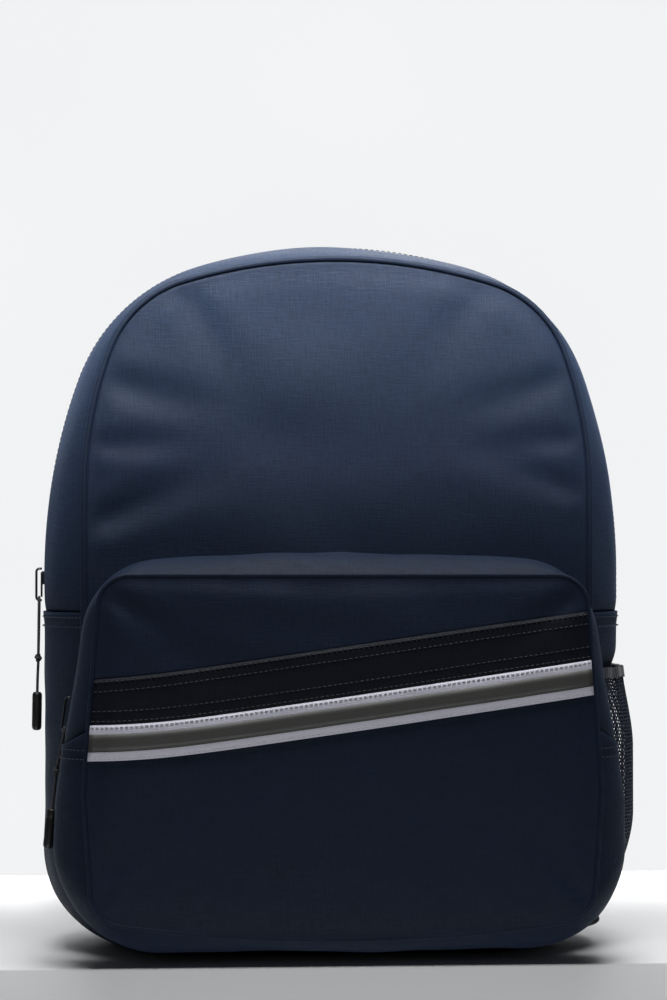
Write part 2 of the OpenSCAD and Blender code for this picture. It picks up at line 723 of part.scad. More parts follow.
// Strap centre line from the yoke to the ladder lock: [sideways, height, distance behind the back panel]
strap_top = [54, 346];
function strap_side(t) = lerp(strap_top.x, 92, smooth(0, 0.9, t)) + 6 * sin(180 * t);
function strap_low(t) = strap_top.y - 222 * t;
function strap_out(t) = back_face + 9.5 + 46 * pow(sin(180 * min(1, t * 0.86)), 0.9);
function strap_half_w(t) = strap_width / 2 * lerp(1, 0.72, smooth(0.3, 1, t));
function strap_row(t, side, offset) =
    let (
        ahead = [strap_side(t + 0.02), strap_out(t + 0.02), strap_low(t + 0.02)],
        here = [strap_side(t), strap_out(t), strap_low(t)],
        along = unit(ahead - here),
        across = unit(cross(along, [0, 1, 0])),
        out = cross(along, across) * (cross(along, across).y > 0 ? 1 : -1),
        w = strap_half_w(t)
    )
    [for (s = [-1, -0.8, 0, 0.8, 1])
        let (p = here + across * w * s + out * offset * (abs(s) > 0.9 ? 0.35 : 1)) [side * p.x, p.y, p.z]];
module strap_pad(side) {
    color([0.13, 0.16, 0.22])
        thick_sheet(
            [for (i = [0:strap_count]) strap_row(i / strap_count, side, strap_thickness / 2)],
            [for (i = [0:strap_count]) strap_row(i / strap_count, side, -strap_thickness / 2)]
        );
}
function ribbon_row(t, side, half, offset) =
    let (
        ahead = [strap_side(t + 0.02), strap_out(t + 0.02), strap_low(t + 0.02)],
        here = [strap_side(t), strap_out(t), strap_low(t)],
        along = unit(ahead - here),
        across = unit(cross(along, [0, 1, 0])),
        out = cross(along, across) * (cross(along, across).y > 0 ? 1 : -1)
    )
    [for (s = [-1, 1]) let (p = here + across * half * s + out * offset) [side * p.x, p.y, p.z]];
module strap_ribbon(side) {
    low = strap_thickness / 2 + 0.2;
    color([0.1, 0.12, 0.17])
        thick_sheet(
            [for (i = [6:strap_count]) ribbon_row(i / strap_count, side, webbing_width / 2, low + 1.4)],
            [for (i = [6:strap_count]) ribbon_row(i / strap_count, side, webbing_width / 2, low)]
        );
}
module strap_left() {
    strap_pad(-1);
}
module strap_right() {
    strap_pad(1);
}
module strap_webbing_left() {
    strap_ribbon(-1);
}
module strap_webbing_right() {
    strap_ribbon(1);
}
strap_end = [strap_side(1), strap_out(1), strap_low(1)];
lock_size = [34, 5, 26];
lock_gap = 5;
module ladder_lock(side) {
    slot = [webbing_width + 1, lock_size.y + 2, 3.6];
    color([0.03, 0.03, 0.04])
        translate([side * strap_end.x, strap_end.y, strap_end.z - lock_size.z / 2 - lock_gap])
            difference() {
                translate([-lock_size.x / 2, -lock_size.y / 2, -lock_size.z / 2])
                    cube(lock_size);
                for (z = [-8.2, -1.8, 5.2]) {
                    translate([-slot.x / 2, -slot.y / 2, z])
                        cube(slot);
                }
            }
}
module ladder_lock_left() {
    ladder_lock(-1);
}
module ladder_lock_right() {
    ladder_lock(1);
}
// Webbing from the wing up to the ladder lock
wing_corners = [[139, 32], [144, 50], [144, 90], [114, 68], [110, 46]];
lower_route = [
    [112, 70.5, 57], [110, 76, 65], [107, 83, 74], [103, 89, 84], [99, 92.3, 94], [96, 93, 104]
];
module lower_webbing(side) {
    route = [for (p = lower_route) [side * p.x, p.y, p.z]];
    across = unit([side * 0.94, 0, 0.34]);
    rows = [for (p = route) [p - across * webbing_width / 2, p + across * webbing_width / 2]];
    color([0.1, 0.12, 0.17])
        thick_sheet(rows, [for (r = rows) [for (p = r) p + [0, 1.5, 0]]]);
}
module lower_webbing_left() {
    lower_webbing(-1);
}
module lower_webbing_right() {
    lower_webbing(1);
}
module strap_wing(side) {
    color([0.13, 0.16, 0.22])
        plate([for (p = wing_corners) [side * p.x, p.y]],
            back_face + 0.2, back_face + 2.8);
}
module strap_wing_left() {
    strap_wing(-1);
}
module strap_wing_right() {
    strap_wing(1);
}

/* Haul handle, hanging down behind the top */
function handle_point(t) =
    let (a = 180 * t)
    [-handle_span / 2 * cos(a) * (1 + 0.12 * sin(a)), back_face + 9, handle_z - handle_drop * pow(sin(a), 0.7)];
module handle_webbing() {
    for (side = [-1, 1]) {
        route = [for (i = [0:5]) let (p = handle_point(0.165 * i / 5)) [side * p.x, p.y, p.z]];
        color([0.1, 0.12, 0.17])
            sweep(route, 9, 1.2, 8, [0, 1, 0]);
    }
}
module handle_grip() {
    route = [for (i = [0:14]) handle_point(lerp(0.178, 0.822, i / 14))];
    color([0.13, 0.16, 0.22])
        sweep(route, grip_r + 1.5, grip_r - 0.5, 12, [0, 1, 0]);
}

front_panel_upper();
front_panel_lower();
back_panel();
back_foam();
front_gusset();
front_gusset_feet();
rear_gusset();
lower_gusset();
base_board();
piping_front_upper();
piping_front_lower();
piping_back();
front_zip_tape();
front_zip_coil();
front_zip_feet();
rear_zip_tape();
rear_zip_coil();
zip_end_tabs();
main_slider();
main_pull_cord();
main_pull_knot();
main_pull_barrel();
pocket_front_upper();
pocket_front_lower();
pocket_band();
reflective_tape();
silver_stripe();
pocket_front_gusset();
pocket_rear_gusset();
pocket_lower_gusset();
pocket_front_tape();
pocket_front_coil();
pocket_rear_tape();
pocket_rear_coil();
pocket_slider();
pocket_pull_cord();
pocket_pull_knot();
pocket_pull_barrel();
mesh_pocket();
mesh_hem();
inner_sleeve();
back_pad_left();
back_pad_right();
lumbar_pad();
strap_yoke();
strap_left();
strap_right();
strap_webbing_left();
strap_webbing_right();
ladder_lock_left();
ladder_lock_right();
lower_webbing_left();
lower_webbing_right();
strap_wing_left();
strap_wing_right();
handle_webbing();
handle_grip();
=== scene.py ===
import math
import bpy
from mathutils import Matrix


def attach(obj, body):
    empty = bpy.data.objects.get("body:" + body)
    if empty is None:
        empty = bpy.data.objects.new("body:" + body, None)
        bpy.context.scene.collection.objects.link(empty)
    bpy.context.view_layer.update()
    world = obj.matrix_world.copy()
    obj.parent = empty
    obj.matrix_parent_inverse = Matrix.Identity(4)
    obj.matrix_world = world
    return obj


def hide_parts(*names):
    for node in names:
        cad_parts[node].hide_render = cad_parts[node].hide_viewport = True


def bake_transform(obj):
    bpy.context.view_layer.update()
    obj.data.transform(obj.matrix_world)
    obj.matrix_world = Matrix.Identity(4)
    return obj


bl_info = {
    "name": "School Backpack",
    "version": (1, 0, 0),
    "blender": (4, 5, 0),
    "location": "View3D > Sidebar > Backpack",
    "description": "Builds a school backpack in woven cloth around its rigid frame",
    "category": "Add Mesh",
}

import bmesh
import bpy
import numpy as np
from bpy.props import FloatProperty, FloatVectorProperty, PointerProperty
from mathutils import Matrix, Vector

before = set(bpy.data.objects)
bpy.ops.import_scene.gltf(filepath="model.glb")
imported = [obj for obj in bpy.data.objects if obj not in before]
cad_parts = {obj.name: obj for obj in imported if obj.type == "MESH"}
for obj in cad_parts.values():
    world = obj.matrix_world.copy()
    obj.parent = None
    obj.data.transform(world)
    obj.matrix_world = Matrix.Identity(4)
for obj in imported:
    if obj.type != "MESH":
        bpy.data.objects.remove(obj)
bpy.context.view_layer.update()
MM = 0.001

# ---------------------------------------------------------------------------
# Outlines, in millimetres, shared with the frame's own construction
# ---------------------------------------------------------------------------
FOLD_Z = 240.0
SEAM_Z = 200.0
DEPTH = 130.0
ZIP_Y = -5.0
ZIP_GAP = 6.0
BULGE_POWER = 2.4
BASE_FILL = 2.2
CORNER_TOP = 60.0
CLOTH = 1.2
KNIT = 0.5
BACK_Y = 66.7
TOOTH = (3.1, 1.9, 0.95)
TOOTH_PITCH = 1.45
STITCH = (3.2, 2.4, 0.33)
LONG_STITCH = (3.4, 2.5, 0.33)
CORD_WIDTH = 1.6
CAMERA_AT = (-0.103, -1.597, 0.230)
CAMERA_TILT = 91.33
CAMERA_TURN = 0.054


class Arch:
    """A basket arch on straight sides, in millimetres and degrees.

    From the base up: a round corner, a straight side to the spring, a flank arc, a shoulder arc
    and one wide arc over the top.
    """

    def __init__(self, half, top, spring, flank_r, flank_angle, shoulder_r, base, corner_r):
        self.half, self.top, self.spring, self.flank_r = half, top, spring, flank_r
        self.flank_angle, self.shoulder_r = math.radians(flank_angle), shoulder_r
        self.base, self.corner_r = base, corner_r
        self.flank = np.array([half - flank_r, spring])
        turn = np.array([math.cos(self.flank_angle), math.sin(self.flank_angle)])
        self.shoulder = self.flank + (flank_r - shoulder_r) * turn
        drop = self.shoulder[1] - top
        self.top_r = (shoulder_r**2 - self.shoulder[0] ** 2 - drop**2) / (2 * (drop + shoulder_r))
        self.crown_centre = np.array([0.0, top - self.top_r])
        self.join = math.atan2(self.shoulder[1] - self.crown_centre[1], self.shoulder[0])

    def grown(self, t):
        return Arch(self.half + t, self.top + t, self.spring, self.flank_r + t,
                    math.degrees(self.flank_angle),
                    self.shoulder_r + t, self.base - t, self.corner_r + t)

    def side_x(self, z):
        if z <= self.spring:
            return self.half
        return self.half - self.flank_r + math.sqrt(self.flank_r**2 - (z - self.spring) ** 2)

    def _ray(self, centre, radius, u):
        d = centre - np.array([0.0, FOLD_Z])
        along = d @ u
        inside = along * along - d @ d + radius * radius
        return np.array([0.0, FOLD_Z]) + u * (along + math.sqrt(max(inside, 0.0)))

    def crown_point(self, phi):
        a = math.pi - phi if phi > math.pi / 2 else phi
        sign = -1.0 if phi > math.pi / 2 else 1.0
        u = np.array([math.cos(a), math.sin(a)])
        if a < math.pi / 4 and FOLD_Z + self.half * math.tan(a) <= self.spring:
            p = np.array([self.half, FOLD_Z + self.half * math.tan(a)])
        else:
            p = self._ray(self.flank, self.flank_r, u)
            f = p - self.flank
            if math.atan2(f[1], f[0]) > self.flank_angle:
                p = self._ray(self.shoulder, self.shoulder_r, u)
                f = p - self.shoulder
                if not 0 < math.atan2(f[1], f[0]) <= self.join:
                    p = self._ray(self.crown_centre, self.top_r, u)
        return np.array([sign * p[0], p[1]])

    def crown(self, steps=96):
        return [self.crown_point(math.pi * (1 - i / steps)) for i in range(steps + 1)]

    def side(self, low, high, steps):
        return [np.array([self.side_x(z), z]) for z in np.linspace(low, high, steps + 1)]

    def low_half(self, top_z, side_steps, corner_steps=16, base_steps=12):
        inner = self.half - self.corner_r
        points = [np.array([inner * i / base_steps, self.base]) for i in range(base_steps + 1)]
        for i in range(1, corner_steps + 1):
            a = math.pi / 2 * i / corner_steps
            points.append(np.array([inner + self.corner_r * math.sin(a),
                                    self.base + self.corner_r * (1 - math.cos(a))]))
        return points + self.side(CORNER_TOP, top_z, side_steps)[1:]


MID = Arch(173, 419.5, 225, 334.3, 20.1, 110, 0, 60)
SEAM = Arch(146.5, 405.5, 270, 240, 20, 65, 5, 55)


def both(half):
    return [np.array([-p[0], p[1]]) for p in half[:0:-1]] + list(half)


def arch_run(o):
    side = o.side(SEAM_Z, FOLD_Z, 14)[:-1]
    left = [np.array([-p[0], p[1]]) for p in side]
    return left + o.crown() + side[::-1]


def low_run(o):
    return both(o.low_half(SEAM_Z, 40))


def whole_loop(o):
    return both(o.low_half(SEAM_Z, 40)) + arch_run(o)[1:-1][::-1]


def smooth(a, b, x):
    t = np.clip((np.asarray(x, float) - a) / (b - a), 0, 1)
    return t * t * (3 - 2 * t)


def lengths(points):
    p = np.asarray(points, float)
    return np.concatenate([[0], np.cumsum(np.linalg.norm(np.diff(p, axis=0), axis=1))])


def wave(u, v, seed, scale):
    """Smooth, repeatable unevenness between about -1 and 1."""
    rng = np.random.default_rng(seed)
    total = np.zeros(np.broadcast(u, v).shape)
    for _ in range(7):
        angle, phase = rng.uniform(0, 2 * math.pi, 2)
        k = 2 * math.pi / (scale * rng.uniform(0.6, 1.8))
        total = total + np.sin(k * (u * math.cos(angle) + v * math.sin(angle)) + phase)
    return total / 4.0


def crease(x, z, at, heading, length, width, depth):
    """A valley with a soft ridge on each side; it dies out along its heading."""
    c, s = math.cos(math.radians(heading)), math.sin(math.radians(heading))
    along = (x - at[0]) * c + (z - at[1]) * s
    across = -(x - at[0]) * s + (z - at[1]) * c
    spread = width * (0.7 + 1.1 * np.clip(along / length, 0, 1.5))
    fade = np.exp(-np.clip(along, 0, None) / (0.45 * length)) * (1 - smooth(0, 14, -along))
    q = across / spread
    return depth * fade * (1.35 * q * q - 1) * np.exp(-q * q)


def gusset_k(y):
    v = np.asarray(y, float) / DEPTH + 0.5
    return 1 - np.abs(2 * v - 1) ** BULGE_POWER


def gusset_grid(seam_run, mid_run, ys, lift=0.0, dent=True):
    """Points of the gusset in millimetres, one row for each station and one column for each y."""
    seam, mid = np.array(seam_run), np.array(mid_run)
    ys = np.asarray(ys, float)
    k = gusset_k(ys)[None, :]
    if dent:
        height = mid[:, 1]
        hollow = 5.0 * smooth(12, 45, height) * (1 - smooth(160, 178, height)) * (mid[:, 0] > 0)
        mid = mid - np.stack([hollow, 0 * hollow], 1)
    kz = np.where((seam[:, 1] < CORNER_TOP)[:, None], np.minimum(1, BASE_FILL * k), k)
    x = seam[:, :1] + (mid[:, :1] - seam[:, :1]) * k
    z = seam[:, 1:] + (mid[:, 1:] - seam[:, 1:]) * kz
    y = np.broadcast_to(ys[None, :], x.shape)
    p = np.stack([x, y, z], 2)
    if np.any(lift):
        p = p + normals_of(p, outward_from=(0, 0, 200)) * np.broadcast_to(lift, x.shape)[:, :, None]
    return p


def normals_of(p, outward_from):
    du = np.gradient(p, axis=0)
    dv = np.gradient(p, axis=1)
    n = np.cross(du, dv)
    n /= np.maximum(np.linalg.norm(n, axis=2, keepdims=True), 1e-9)
    away = p - np.array(outward_from, float)
    flip = np.sum(n * away) < 0
    return -n if flip else n


# ---------------------------------------------------------------------------
# Mesh building
# ---------------------------------------------------------------------------
def new_object(name, mesh):
    obj = bpy.data.objects.new(name, mesh)
    bpy.context.scene.collection.objects.link(obj)
    return obj


def shade(obj, smooth_shade=True):
    obj.data.polygons.foreach_set("use_smooth", [smooth_shade] * len(obj.data.polygons))
    obj.data.update()
    return obj


def applied(obj):
    """The object with its modifiers turned into plain mesh."""
    graph = bpy.context.evaluated_depsgraph_get()
    graph.update()
    mesh = bpy.data.meshes.new_from_object(obj.evaluated_get(graph), preserve_all_data_layers=True,
                                           depsgraph=graph)
    mesh.name = obj.name
    if obj.type == "MESH":
        obj.modifiers.clear()
        old = obj.data
        obj.data = mesh
        bpy.data.meshes.remove(old)
        return obj
    name = obj.name
    bpy.data.objects.remove(obj)
    mesh_object = new_object(name, mesh)
    return mesh_object


def ladder(ring):
    """Faces that fill a small ring from side to side, so that no vertex gathers many edges."""
    n = len(ring)
    return [tuple(dict.fromkeys((ring[k], ring[k + 1], ring[n - 2 - k],
                                 ring[n - 1 - k]))) for k in range((n - 1) // 2)]


def sheet_mesh(name, points_mm, uv_mm, material, thickness=1.0, closed=False, towards=(0, 0, 200),
               levels=0):
    """A cloth sheet from a grid of points; its wall grows inwards, away from its outer face."""
    p = np.asarray(points_mm, float) * MM
    uv = np.asarray(uv_mm, float) * MM
    rows, cols = p.shape[:2]
    faces = []
    last = rows if closed else rows - 1
    for r in range(last):
        n = (r + 1) % rows
        for c in range(cols - 1):
            faces.append((r * cols + c, n * cols + c, n * cols + c + 1, r * cols + c + 1))
    flat = p.reshape(-1, 3)
    uv_flat = uv.reshape(-1, 2)
    a, b, c, d = (flat[np.array(faces)[:, k]] for k in range(4))
    away = (a + b + c + d) / 4 - np.array(towards) * MM
    if closed:
        faces += ladder([r * cols + cols - 1 for r in range(rows)])
    if np.sum(np.cross(c - a, d - b) * away) < 0:
        faces = [f[::-1] for f in faces]
    mesh = bpy.data.meshes.new(name)
    mesh.from_pydata([tuple(q) for q in flat], [], faces)
    layer = mesh.uv_layers.new(name="cloth")
    loop_vertex = np.zeros(len(mesh.loops), int)
    mesh.loops.foreach_get("vertex_index", loop_vertex)
    layer.data.foreach_set("uv", uv_flat[loop_vertex].ravel())
    mesh.materials.append(material)
    obj = shade(new_object(name, mesh))
    if levels:
        m = obj.modifiers.new("round", "SUBSURF")
        m.levels = m.render_levels = levels
    if thickness:
        m = obj.modifiers.new("wall", "SOLIDIFY")
        m.thickness = thickness * MM
        m.offset = -1
    return applied(obj) if (levels or thickness) else obj


def tube_mesh(name, centre_mm, radius, material, sides=12, closed=False, reference=(0, 1, 0),
              squash=1.0):
    """A round or oval tube along a line, with its own coordinates in metres along and around."""
    p = np.asarray(centre_mm, float)
    n = len(p)
    if closed:
        t = np.roll(p, -1, 0) - np.roll(p, 1, 0)
    else:
        t = np.gradient(p, axis=0)
    t /= np.linalg.norm(t, axis=1, keepdims=True)
    ref = np.array(reference, float)
    across = np.cross(t, ref)
    across /= np.maximum(np.linalg.norm(across, axis=1, keepdims=True), 1e-9)
    up = np.cross(across, t)
    radii = np.broadcast_to(np.asarray(radius, float), (n,))
    angle = 2 * math.pi * np.arange(sides) / sides
    sideways = across[:, None, :] * np.cos(angle)[None, :, None]
    ring = sideways + up[:, None, :] * squash * np.sin(angle)[None, :, None]
    verts = (p[:, None, :] + ring * radii[:, None, None]) * MM
    faces, loops_uv = [], []
    s = lengths(p) * MM
    total = s[-1] + np.linalg.norm(p[0] - p[-1]) * MM
    girth = 2 * math.pi * float(radii.mean()) * MM
    for r in range(n if closed else n - 1):
        q = (r + 1) % n
        u0, u1 = s[r], (s[q] if q else total)
        for k in range(sides):
            m = (k + 1) % sides
            faces.append((r * sides + k, r * sides + m, q * sides + m, q * sides + k))
            v0, v1 = girth * k / sides, girth * (k + 1) / sides
            loops_uv += [(u0, v0), (u0, v1), (u1, v1), (u1, v0)]
    if not closed:
        faces.append(tuple(range(sides))[::-1])
        faces.append(tuple((n - 1) * sides + k for k in range(sides)))
        loops_uv += [(0, 0)] * (2 * sides)
    mesh = bpy.data.meshes.new(name)
    mesh.from_pydata([tuple(v) for v in verts.reshape(-1, 3)], [], faces)
    layer = mesh.uv_layers.new(name="cloth")
    layer.data.foreach_set("uv", np.array(loops_uv).ravel())
    mesh.materials.append(material)
    obj = shade(new_object(name, mesh))
    outward(obj)
    return obj


def outward(obj):
    bm = bmesh.new()
    bm.from_mesh(obj.data)
    bmesh.ops.recalc_face_normals(bm, faces=bm.faces)
    bm.to_mesh(obj.data)
    bm.free()
    obj.data.update()
    return obj


def joined(name, parts):
    """One mesh object from several."""
    bpy.ops.object.select_all(action="DESELECT")
    for o in parts:
        o.select_set(True)
    bpy.context.view_layer.objects.active = parts[0]
    bpy.ops.object.join()
    parts[0].name = name
    parts[0].data.name = name
    return parts[0]


def paths_object(name, paths_mm):
    data = bpy.data.curves.new(name, "CURVE")
    data.dimensions = "3D"
    for path in paths_mm:
        spline = data.splines.new("POLY")
        spline.points.add(len(path) - 1)
        for point, q in zip(spline.points, path):
            point.co = (q[0] * MM, q[1] * MM, q[2] * MM, 1)
    return new_object(name, data)


def bead_mesh(name, size_mm, rings=4, sides=6):
    """A small rounded rod lying along Z, with few faces."""
    bm = bmesh.new()
    bmesh.ops.create_uvsphere(bm, u_segments=sides, v_segments=rings, radius=0.5)
    for v in bm.verts:
        squared = math.copysign(abs(2 * v.co.z) ** 0.55, v.co.z) / 2 if v.co.z else 0
        v.co = Vector((v.co.x * size_mm[0] * MM, v.co.y * size_mm[1] * MM,
                       squared * size_mm[2] * MM))
    mesh = bpy.data.meshes.new(name)
    bm.to_mesh(mesh)
    bm.free()
    obj = new_object(name, mesh)
    shade(obj)
    obj.hide_render = True
    return obj


def repeat_tree(name, bead, material):
    """Geometry nodes that set a bead along every path at an even spacing, lying along it."""
    tree = bpy.data.node_groups.new(name, "GeometryNodeTree")
    tree.interface.new_socket("Geometry", in_out="INPUT", socket_type="NodeSocketGeometry")
    gap = tree.interface.new_socket("Spacing", in_out="INPUT", socket_type="NodeSocketFloat")
    side = tree.interface.new_socket("Across", in_out="INPUT", socket_type="NodeSocketVector")
    tree.interface.new_socket("Geometry", in_out="OUTPUT", socket_type="NodeSocketGeometry")

    def add(kind, **settings):
        node = tree.nodes.new(kind)
        for key, value in settings.items():
            setattr(node, key, value)
        return node

    source, sink = add("NodeGroupInput"), add("NodeGroupOutput")
    resample = add("GeometryNodeResampleCurve", mode="LENGTH")
    info = add("GeometryNodeObjectInfo")
    info.inputs["Object"].default_value = bead
    tangent = add("GeometryNodeInputTangent")
    lie = add("FunctionNodeAlignRotationToVector", axis="Z")
    turn = add("FunctionNodeAlignRotationToVector", axis="X", pivot_axis="Z")
    place = add("GeometryNodeInstanceOnPoints")
    real = add("GeometryNodeRealizeInstances")
    paint = add("GeometryNodeSetMaterial")
    paint.inputs["Material"].default_value = material
    link = tree.links.new
    link(source.outputs["Geometry"], resample.inputs["Curve"])
    link(source.outputs["Spacing"], resample.inputs["Length"])
    link(resample.outputs["Curve"], place.inputs["Points"])
    link(info.outputs["Geometry"], place.inputs["Instance"])
    link(tangent.outputs["Tangent"], lie.inputs["Vector"])
    link(lie.outputs["Rotation"], turn.inputs["Rotation"])
    link(source.outputs["Across"], turn.inputs["Vector"])
    link(turn.outputs["Rotation"], place.inputs["Rotation"])
    link(place.outputs["Instances"], real.inputs["Geometry"])
    link(real.outputs["Geometry"], paint.inputs["Geometry"])
    link(paint.outputs["Geometry"], sink.inputs["Geometry"])
    return tree, gap.identifier, side.identifier


def repeated(name, paths_mm, bead, material, spacing_mm, across=(0, 1, 0)):
    curve = paths_object(name, paths_mm)
    modifier = curve.modifiers.new("repeat", "NODES")
    modifier.node_group, spacing, facing = repeat_tree(name + "_tree", bead, material)
    modifier[spacing] = spacing_mm * MM
    modifier[facing] = tuple(float(a) for a in across)
    obj = applied(curve)
    return shade(obj)


def stitches(name, paths_mm, material, spacing=3.2, length=2.4, radius=0.34):
    bead = bead_mesh(name + "_bead", (2 * radius, 2 * radius, length))
    obj = repeated(name, paths_mm, bead, material, spacing)
    bpy.data.objects.remove(bead)
    return obj


def mount(obj, body=None, blend=None, slot=None, replaces=()):
    """Ties a piece to its body, or, when it is given a bend, only bakes its placement into its
    mesh, and hides the parts that it replaces; the slot is not used.
    """
    if blend:
        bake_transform(obj)
    else:
        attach(obj, body)
    if replaces:
        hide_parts(*replaces)
    return obj


# Where each piece belongs: a bend between the bag and a flap, given here but not applied (mount
# only bakes such a piece in place), or the bag alone
MAIN_BEND = ("bag", "main_flap", (0, -0.0685, 0.222), (0, -0.0685, 0.244))
POCKET_BEND = ("bag", "pocket_flap", (0, -0.117, 0.090), (0, -0.134, 0.107))
MAIN_SIDE = {"front": {"blend": MAIN_BEND}, "rear": {"body": "bag"}}
POCKET_SIDE = {"front": {"blend": POCKET_BEND}, "rear": {"body": "bag"}}

# ---------------------------------------------------------------------------
# Shaders
# ---------------------------------------------------------------------------
class Value:
    """A shader socket that takes part in ordinary arithmetic."""

    def __init__(self, shader, socket):
        self.shader, self.socket = shader, socket

    def _with(self, operation, other, swapped=False):
        a, b = (other, self) if swapped else (self, other)
        return self.shader.node("ShaderNodeMath", {"operation": operation}, {0: a, 1: b}).out()

    def __add__(self, other):
        return self._with("ADD", other)

    __radd__ = __add__

    def __sub__(self, other):
        return self._with("SUBTRACT", other)

    def __rsub__(self, other):
        return self._with("SUBTRACT", other, True)

    def __mul__(self, other):
        return self._with("MULTIPLY", other)

    __rmul__ = __mul__


class Node:
    def __init__(self, shader, node):
        self.shader, self.node = shader, node

    def out(self, key=0):
        return Value(self.shader, self.node.outputs[key])


class Shader:
    """A material and one method that adds any node to it."""

    def __init__(self, name):
        self.material = bpy.data.materials.new(name)
        self.material.use_nodes = True
        self.tree = self.material.node_tree
        self.surface = self.tree.nodes["Principled BSDF"]

    def node(self, kind, settings=None, values=None):
        node = self.tree.nodes.new(kind)
        for key, value in (settings or {}).items():
            if key == "stops":
                ramp = node.color_ramp
                while len(ramp.elements) < len(value):
                    ramp.elements.new(0.5)
                for element, (place, colour) in zip(ramp.elements, value):
                    element.position, element.color = place, colour
            else:
                setattr(node, key, value)
        for key, value in (values or {}).items():
            self.set(node.inputs[key], value)
        return Node(self, node)

    def set(self, socket, value):
        if isinstance(value, Value):
            self.tree.links.new(value.socket, socket)
        else:
            socket.default_value = value

    def fixed(self, **values):
        for key, value in values.items():
            self.surface.inputs[key.replace("_", " ")].default_value = value

    def finish(self, colour=None, roughness=None, height=None, strength=0.3, distance=0.0004):
        if colour is not None:
            self.set(self.surface.inputs["Base Color"], colour)
        if roughness is not None:
            self.set(self.surface.inputs["Roughness"], roughness)
        if height is not None:
            bump = self.node("ShaderNodeBump", {},
                             {"Strength": strength, "Distance": distance, "Height": height})
            self.set(self.surface.inputs["Normal"], bump.out("Normal"))
        return self.material

    def uv(self, scale):
        source = self.node("ShaderNodeUVMap", {"uv_map": "cloth"}).out("UV")
        return self.node("ShaderNodeMapping", {}, {"Vector": source, "Scale": scale}).out()

    def place(self, scale):
        source = self.node("ShaderNodeTexCoord").out("Object")
        return self.node("ShaderNodeMapping", {}, {"Vector": source, "Scale": scale}).out()

    def noise(self, vector, scale=1.0, detail=2.0, rough=0.5):
        return self.node("ShaderNodeTexNoise", {},
                         {"Vector": vector, "Scale": scale, "Detail": detail,
                          "Roughness": rough}).out(0)

    def mix(self, factor, a, b):
        node = self.node("ShaderNodeMix", {"data_type": "RGBA"}, {0: factor})
        self.set(node.node.inputs[6], a)
        self.set(node.node.inputs[7], b)
        return node.out(2)

    def ridges(self, vector, axis, pitch):
        """Evenly spaced threads, 0 between them and 1 on top."""
        parts = self.node("ShaderNodeSeparateXYZ", {}, {0: vector})
        wave_value = self.node("ShaderNodeMath", {"operation": "SINE"},
                               {0: parts.out(axis) * (2 * math.pi / pitch)}).out()
        return wave_value * 0.5 + 0.5


def rgba(colour, gain=1.0):
    return (colour[0] * gain, colour[1] * gain, colour[2] * gain, 1.0)


def woven(name, colour, roughness=0.62, slub=0.6, bump=0.4, sheen=0.05, spread=0.4):
    """Plain-weave polyester: uneven slubs both ways, brighter where a thread stands up."""
    s = Shader(name)
    warp = s.noise(s.uv((850, 95, 1)), 1.0, 4.0, 0.7)
    weft = s.noise(s.uv((95, 850, 1)), 1.0, 4.0, 0.7)
    fine = s.noise(s.uv((1900, 1900, 1)), 1.0, 2.0, 0.6)
    patch = s.noise(s.uv((26, 26, 1)), 1.0, 4.0, 0.6)
    cross = warp + weft
    tone = (cross - 1.0) * (2.2 * slub) + (fine - 0.5) * 0.5 + (patch - 0.5) * 0.3 + 0.5
    tone = s.node("ShaderNodeClamp", {}, {0: tone}).out()
    tint = s.mix(tone, rgba(colour, 1 - spread), rgba(colour, 1 + spread))
    s.fixed(Sheen_Weight=sheen, Sheen_Roughness=0.5, Specular_IOR_Level=0.15)
    s.surface.inputs["Sheen Tint"].default_value = (0.45, 0.62, 1.0, 1)
    return s.finish(tint, roughness - (cross - 1.0) * 0.25, cross + fine * 0.5, bump, 0.0006)


def plain(name, colour, roughness, noise_scale=900.0, bump=0.1, spread=0.12, metallic=0.0,
          coat=0.0):
    s = Shader(name)
    grain = s.noise(s.place((1, 1, 1)), noise_scale, 4.0, 0.6)
    wear = s.noise(s.place((1, 1, 1)), 60.0, 3.0, 0.6)
    tint = s.mix(wear, rgba(colour, 1 - spread), rgba(colour, 1 + spread))
    s.fixed(Metallic=metallic, Coat_Weight=coat)
    return s.finish(tint, roughness + (grain - 0.5) * 0.15, grain, bump, 0.0002)


def ribbed(name, colour, axis=1, pitch=0.0016, bump=0.6, roughness=0.65, spread=0.3, sheen=0.2,
           in_object_space=False):
    """Webbing or tape with ribs across it and fine slubs."""
    s = Shader(name)
    base = s.place((1, 1, 1)) if in_object_space else s.uv((1, 1, 1))
    ribs = s.ridges(base, axis, pitch)
    fine = s.noise(base, 1400.0, 3.0, 0.6)
    tone = ribs * 0.55 + fine * 0.45
    tint = s.mix(tone, rgba(colour, 1 - spread), rgba(colour, 1 + spread))
    s.fixed(Sheen_Weight=sheen, Sheen_Roughness=0.4)
    return s.finish(tint, roughness + fine * 0.1, tone, bump, 0.0004)


MATERIALS = {}


